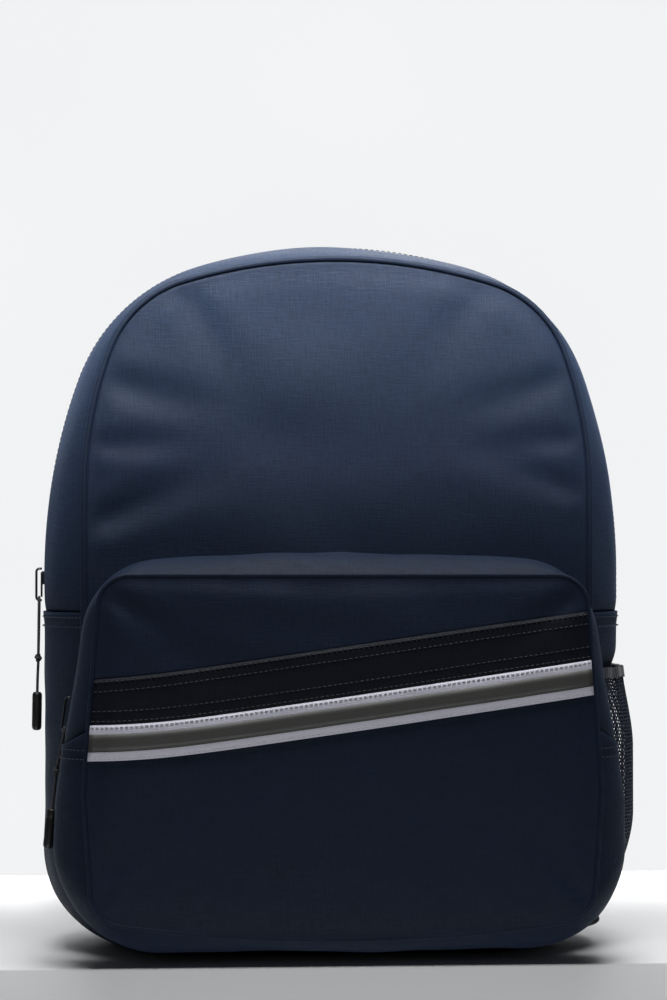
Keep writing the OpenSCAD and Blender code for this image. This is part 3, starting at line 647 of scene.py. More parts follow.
def make_materials(colours):
    navy = tuple(colours.navy)
    dark = tuple(colours.band)
    MATERIALS.update(
        navy=woven("navy_cloth", navy),
        band=woven("band_cloth", dark, slub=0.9, sheen=0.04),
        piping=woven("piping_cloth", tuple(0.8 * c for c in navy), slub=0.6, spread=0.3),
        lining=woven("lining_cloth", (0.075, 0.08, 0.095), roughness=0.75),
        zip_tape=ribbed("zip_tape_knit", (0.010, 0.013, 0.022), axis=1, pitch=0.0011),
        coil=plain("coil_nylon", (0.012, 0.014, 0.022), 0.38, bump=0.05),
        slider=plain("slider_enamel", (0.012, 0.013, 0.018), 0.32, 500, 0.05, metallic=0.4,
                     coat=0.3),
        cord=ribbed("cord_braid", (0.006, 0.007, 0.012), axis=2, pitch=0.0012, bump=0.8,
                    roughness=0.6, in_object_space=True),
        barrel=plain("barrel_rubber", (0.005, 0.005, 0.006), 0.45, 700, 0.12),
        white=ribbed("tape_white_weave", tuple(colours.tape), axis=1, pitch=0.0009, bump=0.35,
                     roughness=0.55, spread=0.1, sheen=0.1),
        silver=silver_stripe_material(tuple(colours.silver)),
        mesh=plain("mesh_yarn", (0.010, 0.017, 0.038), 0.7, 1500, 0.2),
        air=spacer_mesh("air_mesh", (0.010, 0.012, 0.018)),
        webbing=ribbed("strap_webbing", (0.011, 0.014, 0.024), axis=0, pitch=0.0019, bump=0.8),
        buckle=plain("buckle_plastic", (0.008, 0.008, 0.010), 0.42, 600, 0.08, coat=0.05),
        thread=plain("navy_thread", tuple(1.5 * c + 0.003 for c in navy), 0.5, 1500, 0.3),
        dark_thread=plain("dark_thread", (0.005, 0.007, 0.013), 0.6, 1500, 0.3),
        pale_thread=plain("pale_thread", (0.42, 0.42, 0.46), 0.55, 1500, 0.3),
        board=plain("board", (0.01, 0.01, 0.011), 0.5),
    )


def silver_stripe_material(colour):
    """Glass-bead stripe: fine sparkle over an even grey."""
    s = Shader("silver_bead_stripe")
    cells = s.node("ShaderNodeTexVoronoi", {},
                   {"Vector": s.uv((1, 1, 1)), "Scale": 2600.0}).out("Distance")
    grain = s.noise(s.uv((1, 1, 1)), 90.0, 3.0, 0.6)
    tint = s.mix(grain * 0.6 + cells * 0.5, rgba(colour, 0.86), rgba(colour, 1.14))
    s.fixed(Metallic=0.1)
    return s.finish(tint, 0.48 + grain * 0.12, cells, 0.12, 0.0002)


def spacer_mesh(name, colour):
    """Air mesh: rows of small round holes over foam, each hole darkened with painted shade."""
    s = Shader(name)
    cells = s.node("ShaderNodeTexVoronoi", {"feature": "F1"},
                   {"Vector": s.uv((1, 1, 1)), "Scale": 330.0, "Randomness": 0.12}).out("Distance")
    hole = s.node("ShaderNodeMapRange", {}, {0: cells, 1: 0.18, 2: 0.42}).out()
    fine = s.noise(s.uv((1, 1, 1)), 2600.0, 3.0, 0.6)
    # painted shade: each hole goes down to a quarter of the colour and the ridges up to one and a
    # half
    tint = s.mix(hole * 0.8 + fine * 0.2, rgba(colour, 0.25), rgba(colour, 1.5))
    s.fixed(Sheen_Weight=0.3, Sheen_Roughness=0.5)
    return s.finish(tint, 0.75, hole * 0.8 + fine * 0.2, 0.9, 0.0008)


# ---------------------------------------------------------------------------
# Main bag
# ---------------------------------------------------------------------------
PANEL_Y = -66.5
PANEL_FOLDS = (
    # where it starts, heading in degrees, length, width, depth
    ((-146, 338), -16, 140, 13, 3.9),
    ((-146, 297), 2, 110, 10, 3.4),
    ((-146, 250), 24, 130, 13, 3.9),
    ((147, 343), 200, 120, 11, 3.1),
    ((147, 302), 184, 95, 9, 2.9),
    ((147, 268), 158, 100, 10, 2.8),
    ((-92, 392), -62, 120, 14, 2.8),
    ((88, 396), 236, 90, 14, 2.0),
)


def panel_dip(x, z):
    """How far the front panel stands out of its own plane, in millimetres."""
    x, z = np.asarray(x, float), np.asarray(z, float)
    swell = 5.0 * np.clip(1 - (x / 150) ** 2, 0,
                          1) ** 0.6 * np.sin(np.pi * np.clip((z - 4) / 402, 0, 1)) ** 0.6
    folds = sum(crease(x, z, *f) for f in PANEL_FOLDS)
    slack = 0.8 * wave(x, z, 11, 120) + 0.35 * wave(x, z * 0.8, 12, 46)
    return swell + folds + slack


def ringed(boundary, centre, rings, power=1.0):
    """A filled outline as rings that shrink to its centre, and each ring's share of the way out."""
    b = np.asarray(boundary, float)
    share = np.linspace(1, 0.02, rings) ** power
    c = np.asarray(centre, float)
    return c + (b[None, :, :] - c) * share[:, None, None], share


def filled_panel(name, boundary, centre, rings, depth_at, y, facing, material, thickness, levels=1):
    """A cloth panel over a closed outline.

    depth_at gives its relief; facing is -1 for the front and 1 for the back.
    """
    grid, share = ringed(boundary, centre, rings, 0.8)
    x, z = grid[..., 0], grid[..., 1]
    radius = np.linalg.norm(np.asarray(boundary) - np.asarray(centre), axis=1)
    reach = radius[None, :] * (1 - share[:, None])
    held = smooth(0, 14, reach)
    yy = y + facing * depth_at(x, z) * held
    p = np.stack([x, yy, z], 2)
    return sheet_mesh(name, np.transpose(p, (1, 0, 2)),
                      np.transpose(np.stack([x, z], 2), (1, 0, 2)), material,
                      thickness, closed=True, towards=(0, 60.0 * -facing, 200), levels=levels)


def loop_without_end(points):
    p = [np.asarray(q, float) for q in points]
    return p[:-1] if np.linalg.norm(p[0] - p[-1]) < 0.5 else p


def loop_at(points, y):
    return [(p[0], y, p[1]) for p in points]


def panel_edge():
    return loop_without_end(whole_loop(SEAM))


def gusset_piece(name, seam_run, mid_run, ys, material, thickness, lift_at=None, levels=1,
                 dent=True):
    seam = np.array(seam_run)
    u = lengths(seam)
    ys = np.asarray(ys, float)
    lift = 0.0
    if lift_at:
        lift = lift_at(u[:, None] + 0 * ys[None, :], 0 * u[:, None] + ys[None, :],
                       seam[:, 1][:, None])
    p = gusset_grid(seam_run, mid_run, ys, lift, dent)
    v = ys - ys[0]
    uv = np.stack(np.broadcast_arrays(u[:, None], v[None, :]), 2)
    return sheet_mesh(name, p, uv, material, thickness, towards=(0, 0, 200), levels=levels)


def gusset_slack(seed, amount=1.0, edges=(-66, 66)):
    """Small waves and gathers across a side strip, still where it is sewn."""
    def lift(u, y, z):
        held = smooth(0, 10, y - edges[0]) * smooth(0, 10, edges[1] - y)
        near_seams = np.exp(-((y - edges[0]) / 9.0) ** 2) + np.exp(-((edges[1] - y) / 9.0) ** 2)
        tucks = 0.55 * np.sin(u / 9.0 + 2.0 * wave(u, y, seed + 5, 160)) * near_seams
        slack = 0.9 * wave(u, y * 1.6, seed, 110) + 0.4 * wave(u, y, seed + 1, 40)
        return amount * slack * held + 0.5 * amount * tucks * held
    return lift


def build_front_panel():
    obj = filled_panel("front_panel_cloth", panel_edge(), (0, 200), 34, panel_dip, PANEL_Y, -1,
                       MATERIALS["navy"], CLOTH)
    mount(obj, blend=MAIN_BEND, slot="navy_cloth",
          replaces=("front_panel_upper", "front_panel_lower"))
    lining = filled_panel("front_panel_lining", loop_without_end(whole_loop(SEAM.grown(-3))),
                          (0, 200), 18,
                          lambda x, z: 0.7 * wave(x, z, 31, 90), -64.6, -1, MATERIALS["lining"],
                          0.5, levels=0)
    mount(lining, blend=MAIN_BEND, slot="lining")
    return [obj, lining]


def build_back_panel():
    obj = filled_panel("back_panel_cloth", panel_edge(), (0, 200), 26, lambda x,
                       z: 0.5 * wave(x, z, 17, 110), 66.5, 1,
                       MATERIALS["navy"], CLOTH)
    mount(obj, "bag", slot="navy_cloth", replaces=("back_panel",))

    def quilted(x, z):
        return 1.3 + 1.0 * np.cos(x / 16.0) * np.cos(z / 16.0) + 0.5 * wave(x, z, 18, 90)

    foam = filled_panel("back_foam_lining", loop_without_end(whole_loop(SEAM.grown(-6))), (0, 200),
                        20,
                        quilted, 62.0, -1, MATERIALS["lining"], 1.4, levels=1)
    mount(foam, "bag", slot="lining", replaces=("back_foam",))
    return [obj, foam]


def build_gussets():
    made = []
    seam, mid = arch_run(SEAM), arch_run(MID)

    def tucked(seed, edges):
        slack = gusset_slack(seed, 1.0, edges)
        return lambda u, y, z: slack(u, y, z) * smooth(200, 214,
                                                       z) - 0.9 * (1 - smooth(200, 206, z))

    front_ys = np.linspace(-66.2, ZIP_Y - ZIP_GAP, 15)
    obj = gusset_piece("front_gusset_cloth", seam, mid, front_ys, MATERIALS["navy"], CLOTH,
                       tucked(41, (-66, -8)))
    mount(obj, blend=MAIN_BEND, slot="navy_cloth", replaces=("front_gusset", "front_gusset_feet"))
    made.append(obj)
    rear_ys = np.linspace(ZIP_Y + ZIP_GAP, 66.2, 17)
    obj = gusset_piece("rear_gusset_cloth", seam, mid, rear_ys, MATERIALS["navy"], CLOTH,
                       tucked(43, (-2, 66)))
    mount(obj, "bag", slot="navy_cloth", replaces=("rear_gusset",))
    made.append(obj)

    low_seam, low_mid = low_run(SEAM), low_run(MID)
    slack = gusset_slack(47, 1.2)

    def lower(u, y, z):
        calm = smooth(4, 30, z) * (1 - smooth(150, 198, z))
        lap = 0.8 * smooth(192, 198, z)
        return slack(u, y, z) * np.clip(calm, 0, 1) + lap
    obj = gusset_piece("lower_gusset_cloth", low_seam, low_mid, np.linspace(-66.2, 66.2, 31),
                       MATERIALS["navy"], CLOTH, lower)
    mount(obj, "bag", slot="navy_cloth", replaces=("lower_gusset",))
    made.append(obj)

    # Two rows of topstitching under the lapped edge, on each side
    paths = []
    for drop in (3.0, 8.5):
        for sign in (-1, 1):
            z = SEAM_Z - drop
            row_seam = [np.array([sign * SEAM.side_x(z), z]),
                        np.array([sign * SEAM.side_x(z - 1), z - 1])]
            row_mid = [np.array([sign * MID.side_x(z), z]),
                       np.array([sign * MID.side_x(z - 1), z - 1])]
            line = gusset_grid(row_seam, row_mid, np.linspace(-62, 62, 40), 1.0)[0]
            paths.append(line)
    obj = stitches("gusset_stitches", paths, MATERIALS["thread"], *LONG_STITCH)
    mount(obj, "bag", slot="navy_cloth")
    made.append(obj)
    # Topstitching along both edges of the zip opening
    rows = {"front": ZIP_Y - ZIP_GAP - 2.5, "rear": ZIP_Y + ZIP_GAP + 2.5}
    for side, y in rows.items():
        line = gusset_grid(seam[3:-3], mid[3:-3], [y - 0.5, y + 0.5], 0.02)[:, 0]
        obj = stitches(f"zip_edge_stitches_{side}", [line], MATERIALS["dark_thread"], 3.4, 2.5,
                       0.26)
        mount(obj, **MAIN_SIDE[side], slot="navy_cloth")
        made.append(obj)
    return made


def build_piping():
    made = []
    for side, y, lift in (("front", -66.4, 1.3), ("back", 66.4, 1.3)):
        edge = loop_without_end(whole_loop(SEAM.grown(lift)))
        obj = tube_mesh(f"piping_{side}_cord", loop_at(edge, y), 1.75, MATERIALS["piping"], 14,
                        closed=True)
        if side == "front":
            mount(obj, blend=MAIN_BEND, slot="piping",
                  replaces=("piping_front_upper", "piping_front_lower"))
        else:
            mount(obj, "bag", slot="piping", replaces=("piping_back",))
        made.append(obj)
    return made


def build_zip():
    made = []
    seam, mid = arch_run(SEAM), arch_run(MID)
    for side, sign in (("front", -1), ("rear", 1)):
        ys = ZIP_Y + sign * np.array([0.9, 3, 6, 9, 12, 13.5])
        obj = gusset_piece(f"{side}_tape_knit", seam, mid, np.sort(ys), MATERIALS["zip_tape"], KNIT,
                           lambda u, y, z: -1.9 + 0 * u, levels=1)
        ends = "front_zip_feet" if side == "front" else "zip_end_tabs"
        mount(obj, **MAIN_SIDE[side], slot="zip_tape", replaces=(f"{side}_zip_tape", ends))
        made.append(obj)
        y = ZIP_Y + sign * 1.75
        line = gusset_grid(seam[1:-1], mid[1:-1], [y - 0.5, y + 0.5], -1.3)[:, 0]
        bead = bead_mesh("tooth", TOOTH)
        obj = repeated(f"{side}_coil_teeth", [line], bead, MATERIALS["coil"], TOOTH_PITCH)
        bpy.data.objects.remove(bead)
        mount(obj, **MAIN_SIDE[side], slot="zip_coil", replaces=(f"{side}_zip_coil",))
        made.append(obj)
    return made


# ---------------------------------------------------------------------------
# Front pocket
# ---------------------------------------------------------------------------
POCKET_REAR = (((0, 7), (143.5, 7), (143.5, 92), (143.5, 228), (0, 236)), 55, 44)
POCKET_MID = (((0, 8), (164, 8), (164, 92), (141, 231), (0, 235)), 60, 46)
POCKET_FACE = (((0, 17), (141, 27), (146, 100), (137, 222), (0, 222)), 20, 18)
POCKET_Y = -66.6
POCKET_DEPTH = 50.0
POCKET_SEAM_Z = 127.0
POCKET_ZIP_V = 0.28


def pocket_half(outline):
    """Half of a pocket outline, bottom centre to top centre, in a fixed number of steps."""
    corners, low_r, high_r = outline
    c = [np.array(p, float) for p in corners]

    def rounded(before, corner, after, radius):
        a, b = before - corner, after - corner
        a, b = a / np.linalg.norm(a), b / np.linalg.norm(b)
        half_angle = math.acos(np.clip(a @ b, -1, 1)) / 2
        reach = radius / math.tan(half_angle)
        centre = corner + (a + b) / np.linalg.norm(a + b) * radius / math.sin(half_angle)
        start, end = corner + a * reach, corner + b * reach
        s, e = start - centre, end - centre
        a0, a1 = math.atan2(s[1], s[0]), math.atan2(e[1], e[0])
        a1 = a0 + (a1 - a0 + math.pi) % (2 * math.pi) - math.pi
        turns = np.linspace(a0, a1, 15)
        return [centre + radius * np.array([math.cos(t), math.sin(t)]) for t in turns]

    low = rounded(c[0], c[1], c[2], low_r)
    high = rounded(c[2], c[3], c[4], high_r)

    def straight(a, b, n):
        return [a + (b - a) * i / n for i in range(1, n)]

    def floor_line(n):
        return [np.array([low[0][0] * i / n,
                          c[0][1] + (low[0][1] - c[0][1]) * (i / n) ** 2]) for i in range(1, n)]

    return ([c[0]] + floor_line(14) + low + straight(low[-1], c[2], 5) + [c[2]]
            + straight(c[2], high[0], 18) + high + straight(high[-1], c[4], 16) + [c[4]])


def pocket_outline(outline):
    """The whole outline, from the bottom centre up the right side and down the left."""
    half = pocket_half(outline)
    return half + [np.array([-p[0], p[1]]) for p in half[-2:0:-1]]


def pocket_grid(vs, keep=None, lift=0.0):
    """Points of the pocket's side strip: rows around it, v from 0 at the bag to 1 at the face."""
    rear, mid, face = (np.array(pocket_outline(o)) for o in (POCKET_REAR, POCKET_MID, POCKET_FACE))
    if keep is not None:
        rear, mid, face = (o[keep] for o in (rear, mid, face))
    v = np.asarray(vs, float)
    k = 1 - np.abs(2 * v - 1) ** 2.2
    far = np.where(v[None, :, None] < 0.5, rear[:, None, :], face[:, None, :])
    xz = far + (mid[:, None, :] - far) * k[None, :, None]
    y = np.broadcast_to((POCKET_Y - POCKET_DEPTH * v)[None, :], xz.shape[:2])
    p = np.stack([xz[..., 0], y, xz[..., 1]], 2)
    if np.any(lift):
        p = p + normals_of(p, (0, -90, 125)) * np.broadcast_to(lift, p.shape[:2])[:, :, None]
    return p


def pocket_rows(low, high, top=True):
    """Indices of the outline's stations, over the top or around the bottom, between two heights."""
    mid = np.array(pocket_outline(POCKET_MID))
    index = np.arange(len(mid))
    if top:
        return index[mid[:, 1] >= low]
    order = np.roll(index, len(index) // 2)
    return order[mid[order, 1] <= high]


POCKET_FOLDS = (
    ((-144, 84), 10, 60, 8, 2.6),
    ((-143, 52), 38, 50, 7, 3.0),
    ((-140, 34), 64, 42, 6, 2.6),
    ((143, 66), 168, 60, 8, 2.3),
    ((141, 36), 132, 50, 8, 2.6),
    ((-134, 212), -34, 80, 10, 2.4),
    ((134, 212), 214, 75, 10, 2.2),
    ((-60, 222), -78, 40, 12, 1.2),
)


def pocket_dip(x, z):
    x, z = np.asarray(x, float), np.asarray(z, float)
    swell = 6.0 * np.clip(1 - (x / 146) ** 2, 0,
                          1) ** 0.55 * np.sin(np.pi * np.clip((z - 20) / 204, 0, 1)) ** 0.55
    folds = sum(crease(x, z, *f) for f in POCKET_FOLDS)
    return swell + folds + 0.7 * wave(x, z, 61, 95) + 0.3 * wave(x, z, 62, 38)


POCKET_PANEL_Y = POCKET_Y - POCKET_DEPTH - 0.9
POCKET_CENTRE = (0, 122)


FACE_EDGE = np.array(pocket_outline(POCKET_FACE))
FACE_ANGLES = np.unwrap(np.arctan2(FACE_EDGE[:, 1] - POCKET_CENTRE[1],
                                   FACE_EDGE[:, 0] - POCKET_CENTRE[0]))


def pocket_face_y(x, z):
    """The pocket face's outer surface at a point, held down along its seam like the panel."""
    c, angles = np.array(POCKET_CENTRE, float), FACE_ANGLES
    radius = np.linalg.norm(FACE_EDGE - c, axis=1)
    a = np.arctan2(z - c[1], x - c[0])
    a = np.where(a < angles[0], a + 2 * math.pi, a)
    reach = np.interp(a, np.append(angles, angles[0] + 2 * math.pi), np.append(radius, radius[0]))
    gap = reach - np.hypot(x - c[0], z - c[1])
    return POCKET_PANEL_Y - pocket_dip(x, z) * smooth(0, 14, gap)


def curve_z(points, x):
    """Height of a smooth line at a place across the pocket."""
    return np.interp(x, points[:, 0], points[:, 1])


BAND_KNOTS = ((-160, 162), (-100, 167.5), (-20, 179), (70, 192), (160, 204.5))
TAPE_KNOTS = ((-160, 137.5), (-100, 140.5), (-20, 151), (70, 164), (160, 177))
TAPE_WIDE = 20.0


def spline_through(points, steps):
    """Points of a smooth line that passes through the given ones."""
    p = np.asarray(points, float)
    ends = np.vstack([2 * p[0] - p[1], p, 2 * p[-1] - p[-2]])
    out = []
    for i in range(1, len(ends) - 2):
        a, b, c, d = ends[i - 1: i + 3]
        for t in np.arange(steps) / steps:
            bend, twist = 2 * a - 5 * b + 4 * c - d, 3 * b - a - 3 * c + d
            out.append(0.5 * (2 * b + (c - a) * t + bend * t * t + twist * t**3))
    return np.array(out + [p[-1]])


BAND, TAPE = spline_through(BAND_KNOTS, 16), spline_through(TAPE_KNOTS, 16)


def face_half_width(z):
    side = FACE_EDGE[(FACE_EDGE[:, 1] > 50) & (FACE_EDGE[:, 0] > 100)]
    order = np.argsort(side[:, 1])
    return np.interp(z, side[order, 1], side[order, 0])


def face_point(s, curve, offset, inset):
    x = s * 138.0
    for _ in range(4):
        z = curve_z(curve, x) + offset
        x = s * (face_half_width(z) - inset)
    return x, curve_z(curve, x) + offset


def overlay(name, low, high, rows, cols, raised, thickness, material, inset=0.6, levels=1):
    """A strip lying on the pocket face between two lines, each given as (curve, offset)."""
    grid, uv = [], []
    for s in np.linspace(-1, 1, cols):
        column, cuv = [], []
        x0, z0 = face_point(s, *low, inset)
        x1, z1 = face_point(s, *high, inset)
        for t in np.linspace(0, 1, rows):
            x, z = x0 + (x1 - x0) * t, z0 + (z1 - z0) * t
            column.append((x, float(pocket_face_y(x, z)) - raised, z))
            cuv.append((x, (z1 - z0) * t))
        grid.append(column)
        uv.append(cuv)
    return sheet_mesh(name, grid, uv, material, thickness, towards=(0, 200, 120), levels=levels)


def face_line(curve, offset, raised, inset=2.0, steps=120):
    line = []
    for s in np.linspace(-1, 1, steps):
        x, z = face_point(s, curve, offset, inset)
        line.append((x, float(pocket_face_y(x, z)) - raised, z))
    return line


def build_pocket():
    made = []
    edge = pocket_outline(POCKET_FACE)
    face = filled_panel("pocket_face_cloth", edge, POCKET_CENTRE, 30, pocket_dip, POCKET_PANEL_Y,
                        -1, MATERIALS["navy"], CLOTH)
    mount(face, blend=POCKET_BEND, slot="navy_cloth",
          replaces=("pocket_front_upper", "pocket_front_lower"))
    made.append(face)

    top = pocket_rows(POCKET_SEAM_Z - 5, 400)
    low = pocket_rows(0, POCKET_SEAM_Z, top=False)
    slack = gusset_slack(71, 1.0, (0, 50))

    def pocket_piece(name, keep, vs, material, thickness, lift_at, levels=1):
        mid = np.array(pocket_outline(POCKET_MID))[keep]
        u = lengths(mid)
        v = np.asarray(vs, float)
        lift = lift_at(u[:, None] + 0 * v, 0 * u[:, None] + v * POCKET_DEPTH,
                       mid[:, 1][:, None] + 0 * v)
        p = pocket_grid(vs, keep, lift)
        uv = np.stack(np.broadcast_arrays(u[:, None], (v * 70)[None, :]), 2)
        return sheet_mesh(name, p, uv, material, thickness, towards=(0, -90, 125), levels=levels)

    def tucked(u, y, z):
        return slack(u, y, z) * smooth(127, 150, z) - 0.9 * (1 - smooth(126, 131, z))

    obj = pocket_piece("pocket_front_strip", top, np.linspace(0.42, 1.0, 11), MATERIALS["navy"],
                       CLOTH, tucked)
    mount(obj, blend=POCKET_BEND, slot="navy_cloth", replaces=("pocket_front_gusset",))
    made.append(obj)
    obj = pocket_piece("pocket_rear_strip", top, np.linspace(0.0, 0.14, 5), MATERIALS["navy"],
                       CLOTH, tucked)
    mount(obj, "bag", slot="navy_cloth", replaces=("pocket_rear_gusset",))
    made.append(obj)

    def lower(u, y, z):
        return slack(u, y, z) * (1 - smooth(95, 125, z)) + 0.8 * smooth(117, 123, z)
    obj = pocket_piece("pocket_lower_strip", low, np.linspace(0.0, 1.0, 19), MATERIALS["navy"],
                       CLOTH, lower)
    mount(obj, blend=POCKET_BEND, slot="navy_cloth", replaces=("pocket_lower_gusset",))
    made.append(obj)

    # Rolled seam where the face meets the strip
    roll = tube_mesh("pocket_face_seam", [(p[0] * 1.003, POCKET_PANEL_Y + 0.6, p[1]) for p in edge],
                     1.15, MATERIALS["navy"], 10, closed=True)
    mount(roll, blend=POCKET_BEND, slot="piping")
    made.append(roll)

    # Zip: tapes on both sides and their teeth
    for side, vs, sign in (("rear", (0.135, 0.2, 0.262), -1), ("front", (0.298, 0.36, 0.425), 1)):
        tape = pocket_piece(f"pocket_{side}_tape_knit", top, vs, MATERIALS["zip_tape"], KNIT,
                            lambda u, y, z: -1.9 + 0 * u)
        v = POCKET_ZIP_V + sign * 0.035
        line = pocket_grid([v - 0.01, v + 0.01], top[1:-1], -1.3)[:, 0]
        bead = bead_mesh("tooth", TOOTH)
        teeth = repeated(f"pocket_{side}_teeth", [line], bead, MATERIALS["coil"], TOOTH_PITCH)
        bpy.data.objects.remove(bead)
        mount(tape, **POCKET_SIDE[side], slot="zip_tape", replaces=(f"pocket_{side}_tape",))
        mount(teeth, **POCKET_SIDE[side], slot="zip_coil", replaces=(f"pocket_{side}_coil",))
        made += [tape, teeth]

    # Band, white tape and silver stripe
    band = overlay("pocket_band_cloth", (TAPE, -2), (BAND, 0), 9, 90, 0.95, 0.7, MATERIALS["band"],
                   levels=0)
    mount(band, blend=POCKET_BEND, slot="dark_cloth", replaces=("pocket_band",))
    tape = overlay("white_tape_weave", (TAPE, -TAPE_WIDE), (TAPE, 0), 6, 90, 1.35, 0.4,
                   MATERIALS["white"], levels=0)
    mount(tape, blend=POCKET_BEND, slot="tape_white", replaces=("reflective_tape",))
    stripe = overlay("silver_stripe_film", (TAPE, -15), (TAPE, -5.2), 4, 90, 1.55, 0.25,
                     MATERIALS["silver"], levels=0)
    mount(stripe, blend=POCKET_BEND, slot="tape_silver", replaces=("silver_stripe",))
    made += [band, tape, stripe]
    dark_rows = [face_line(BAND, -1.6, 1.1), face_line(BAND, -7.0, 1.1), face_line(TAPE, 7.6, 1.1),
                 face_line(TAPE, 2.0, 1.1)]
    obj = stitches("band_stitches", dark_rows, MATERIALS["dark_thread"], 3.0, 2.3, 0.33)
    mount(obj, blend=POCKET_BEND, slot="dark_cloth")
    made.append(obj)
    pale_rows = [face_line(TAPE, -1.3, 1.45), face_line(TAPE, -TAPE_WIDE + 1.3, 1.45)]
    obj = stitches("tape_stitches", pale_rows, MATERIALS["pale_thread"], 2.8, 2.1, 0.3)
    mount(obj, blend=POCKET_BEND, slot="tape_white")
    made.append(obj)
    # Topstitching on the strip: below its lapped edges, and along the zip
    rows = []
    low_line = np.array(pocket_outline(POCKET_MID))
    for drop in (3.0, 8.0):
        z = POCKET_SEAM_Z - drop
        for sign in (-1, 1):
            near = [i for i in low if low_line[i, 0] * sign > 0]
            near.sort(key=lambda i: low_line[i, 1])
            vs = np.linspace(0.04, 0.97, 30)
            k = pocket_grid(vs, np.array(near), 0.85)
            row = [[np.interp(z, k[:, j, 2], k[:, j, c]) for c in range(3)] for j in range(len(vs))]
            rows.append(row)
    obj = stitches("pocket_side_stitches", rows, MATERIALS["thread"], *STITCH)
    mount(obj, blend=POCKET_BEND, slot="navy_cloth")
    made.append(obj)
    return made


# ---------------------------------------------------------------------------
# Sliders and pulls
# ---------------------------------------------------------------------------
MAIN_SLIDER = (-173.0, ZIP_Y, 216.0, 0.0)
POCKET_SLIDER = (-153.7, -80.6, 142.0, 7.88)


def rounded_box(name, size, centre, bevel, segments=3, turn=None):
    """A bevelled box in millimetres, optionally turned by a matrix about its own centre."""
    bm = bmesh.new()
    bmesh.ops.create_cube(bm, size=1.0)
    bmesh.ops.scale(bm, vec=Vector(size) * MM, verts=bm.verts)
    bmesh.ops.bevel(bm, geom=bm.edges[:] + bm.verts[:], offset=bevel * MM, segments=segments,
                    profile=0.5, affect="EDGES")
    if turn is not None:
        bmesh.ops.transform(bm, matrix=turn, verts=bm.verts)
    bmesh.ops.translate(bm, vec=Vector(centre) * MM, verts=bm.verts)
    mesh = bpy.data.meshes.new(name)
    bm.to_mesh(mesh)
    bm.free()
    return shade(new_object(name, mesh))


def slider_parts(name, place):
    """A slider's plates, neck and wire hoop, facing the bag's left, tilted with the zip."""
    x, y, z, tilt = place
    plates = [rounded_box(name + "_top", (1.0, 8.6, 15), (1.7, 0, 0), 0.4),
              rounded_box(name + "_low", (0.8, 9, 18), (-4.4, 0, 0), 0.3),
              rounded_box(name + "_neck", (6.4, 0.6, 8), (-1.6, 0, 4), 0.2)]
    bend = [(4.9 - 1.9 * (1 - math.sin(a)), 0, -9.5 + 1.9 * (1 - math.cos(a)))
            for a in np.linspace(0, math.pi / 2, 7)]
    hoop = [(1.6, 0, -9.5)] + bend
    hoop = hoop + [(p[0], p[1], -p[2]) for p in hoop[::-1]]
    wire = tube_mesh(name + "_hoop", hoop, 0.72, MATERIALS["slider"], 12, reference=(0, 1, 0))
    turn = Matrix.Rotation(math.radians(tilt), 4, "Y")
    mirror = Matrix.Scale(-1, 4, (1, 0, 0))
    place_matrix = Matrix.Translation(Vector((x, y, z)) * MM) @ turn @ mirror
    for part in plates:
        part.data.materials.append(MATERIALS["slider"])
    obj = joined(name, plates + [wire])
    obj.data.transform(place_matrix)
    return outward(obj)


MAIN_CORD = ((-177.2, -5.9, 150), (-177, -6.1, 160), (-176.7, -6.2, 168), (-176.6, -6.3, 174),
             (-176.4, -7.4, 186), (-176.3, -8.1, 196),
             (-176.2, -8.2, 202), (-176.2, -8.2, 205.1), (-176.2, -7.3, 207.5), (-176.2, -5, 208.4),
             (-176.2, -2.7, 207.5),
             (-176.2, -1.8, 205.1), (-176.2, -1.8, 202), (-176.3, -1.9, 196), (-176.4, -2.6, 186),
             (-176.6, -3.7, 174),
             (-176.7, -3.8, 168), (-177, -3.9, 160), (-177.2, -4.1, 150))
POCKET_CORD = ((-165, -81.5, 87), (-164.1, -81.6, 96), (-163.1, -81.8, 105), (-162.4, -81.9, 111),
               (-161.1, -83, 118), (-159.6, -83.8, 125),
               (-158.5, -83.9, 129.7), (-158.2, -83.8, 131.9), (-158.1, -83.1, 134.1),
               (-158.1, -80.6, 135), (-158.1, -78.1, 134.1),
               (-158.2, -77.4, 131.9), (-158.5, -77.3, 129.7), (-159.6, -77.4, 125),
               (-161.1, -78.2, 118), (-162.4, -79.3, 111),
               (-163.1, -79.4, 105), (-164.1, -79.6, 96), (-165, -79.7, 87))


def cord_curve(name, route, diameter, material):
    data = bpy.data.curves.new(name, "CURVE")
    data.dimensions = "3D"
    data.bevel_depth = diameter / 2 * MM
    data.bevel_resolution = 4
    data.resolution_u = 6
    data.use_fill_caps = True
    spline = data.splines.new("POLY")
    fine = spline_through(route, 5)
    spline.points.add(len(fine) - 1)
    for point, q in zip(spline.points, fine):
        point.co = (q[0] * MM, q[1] * MM, q[2] * MM, 1)
    data.materials.append(material)
    return new_object(name, data), float(lengths(fine)[-1])


def knot_mesh(name, centre, lean, material):
    """A small overhand knot around the doubled cord."""
    t = np.linspace(0, 2 * math.pi, 72, endpoint=False)
    x = np.sin(t) + 2 * np.sin(2 * t)
    y = np.cos(t) - 2 * np.cos(2 * t)
    z = -np.sin(3 * t)
    p = np.stack([x * 0.62, y * 0.72, z * 1.0], 1)
    p = p * np.array([1.0, 1.05, 1.25])
    laid_over = Matrix.Rotation(math.radians(68), 3, "Y")
    turn = np.array(Matrix.Rotation(math.radians(lean), 3, "Y") @ laid_over)
    p = p @ turn.T + np.array(centre)
    return tube_mesh(name, p, 0.8, material, 10, closed=True, reference=(0.31, 0.9, 0.2))


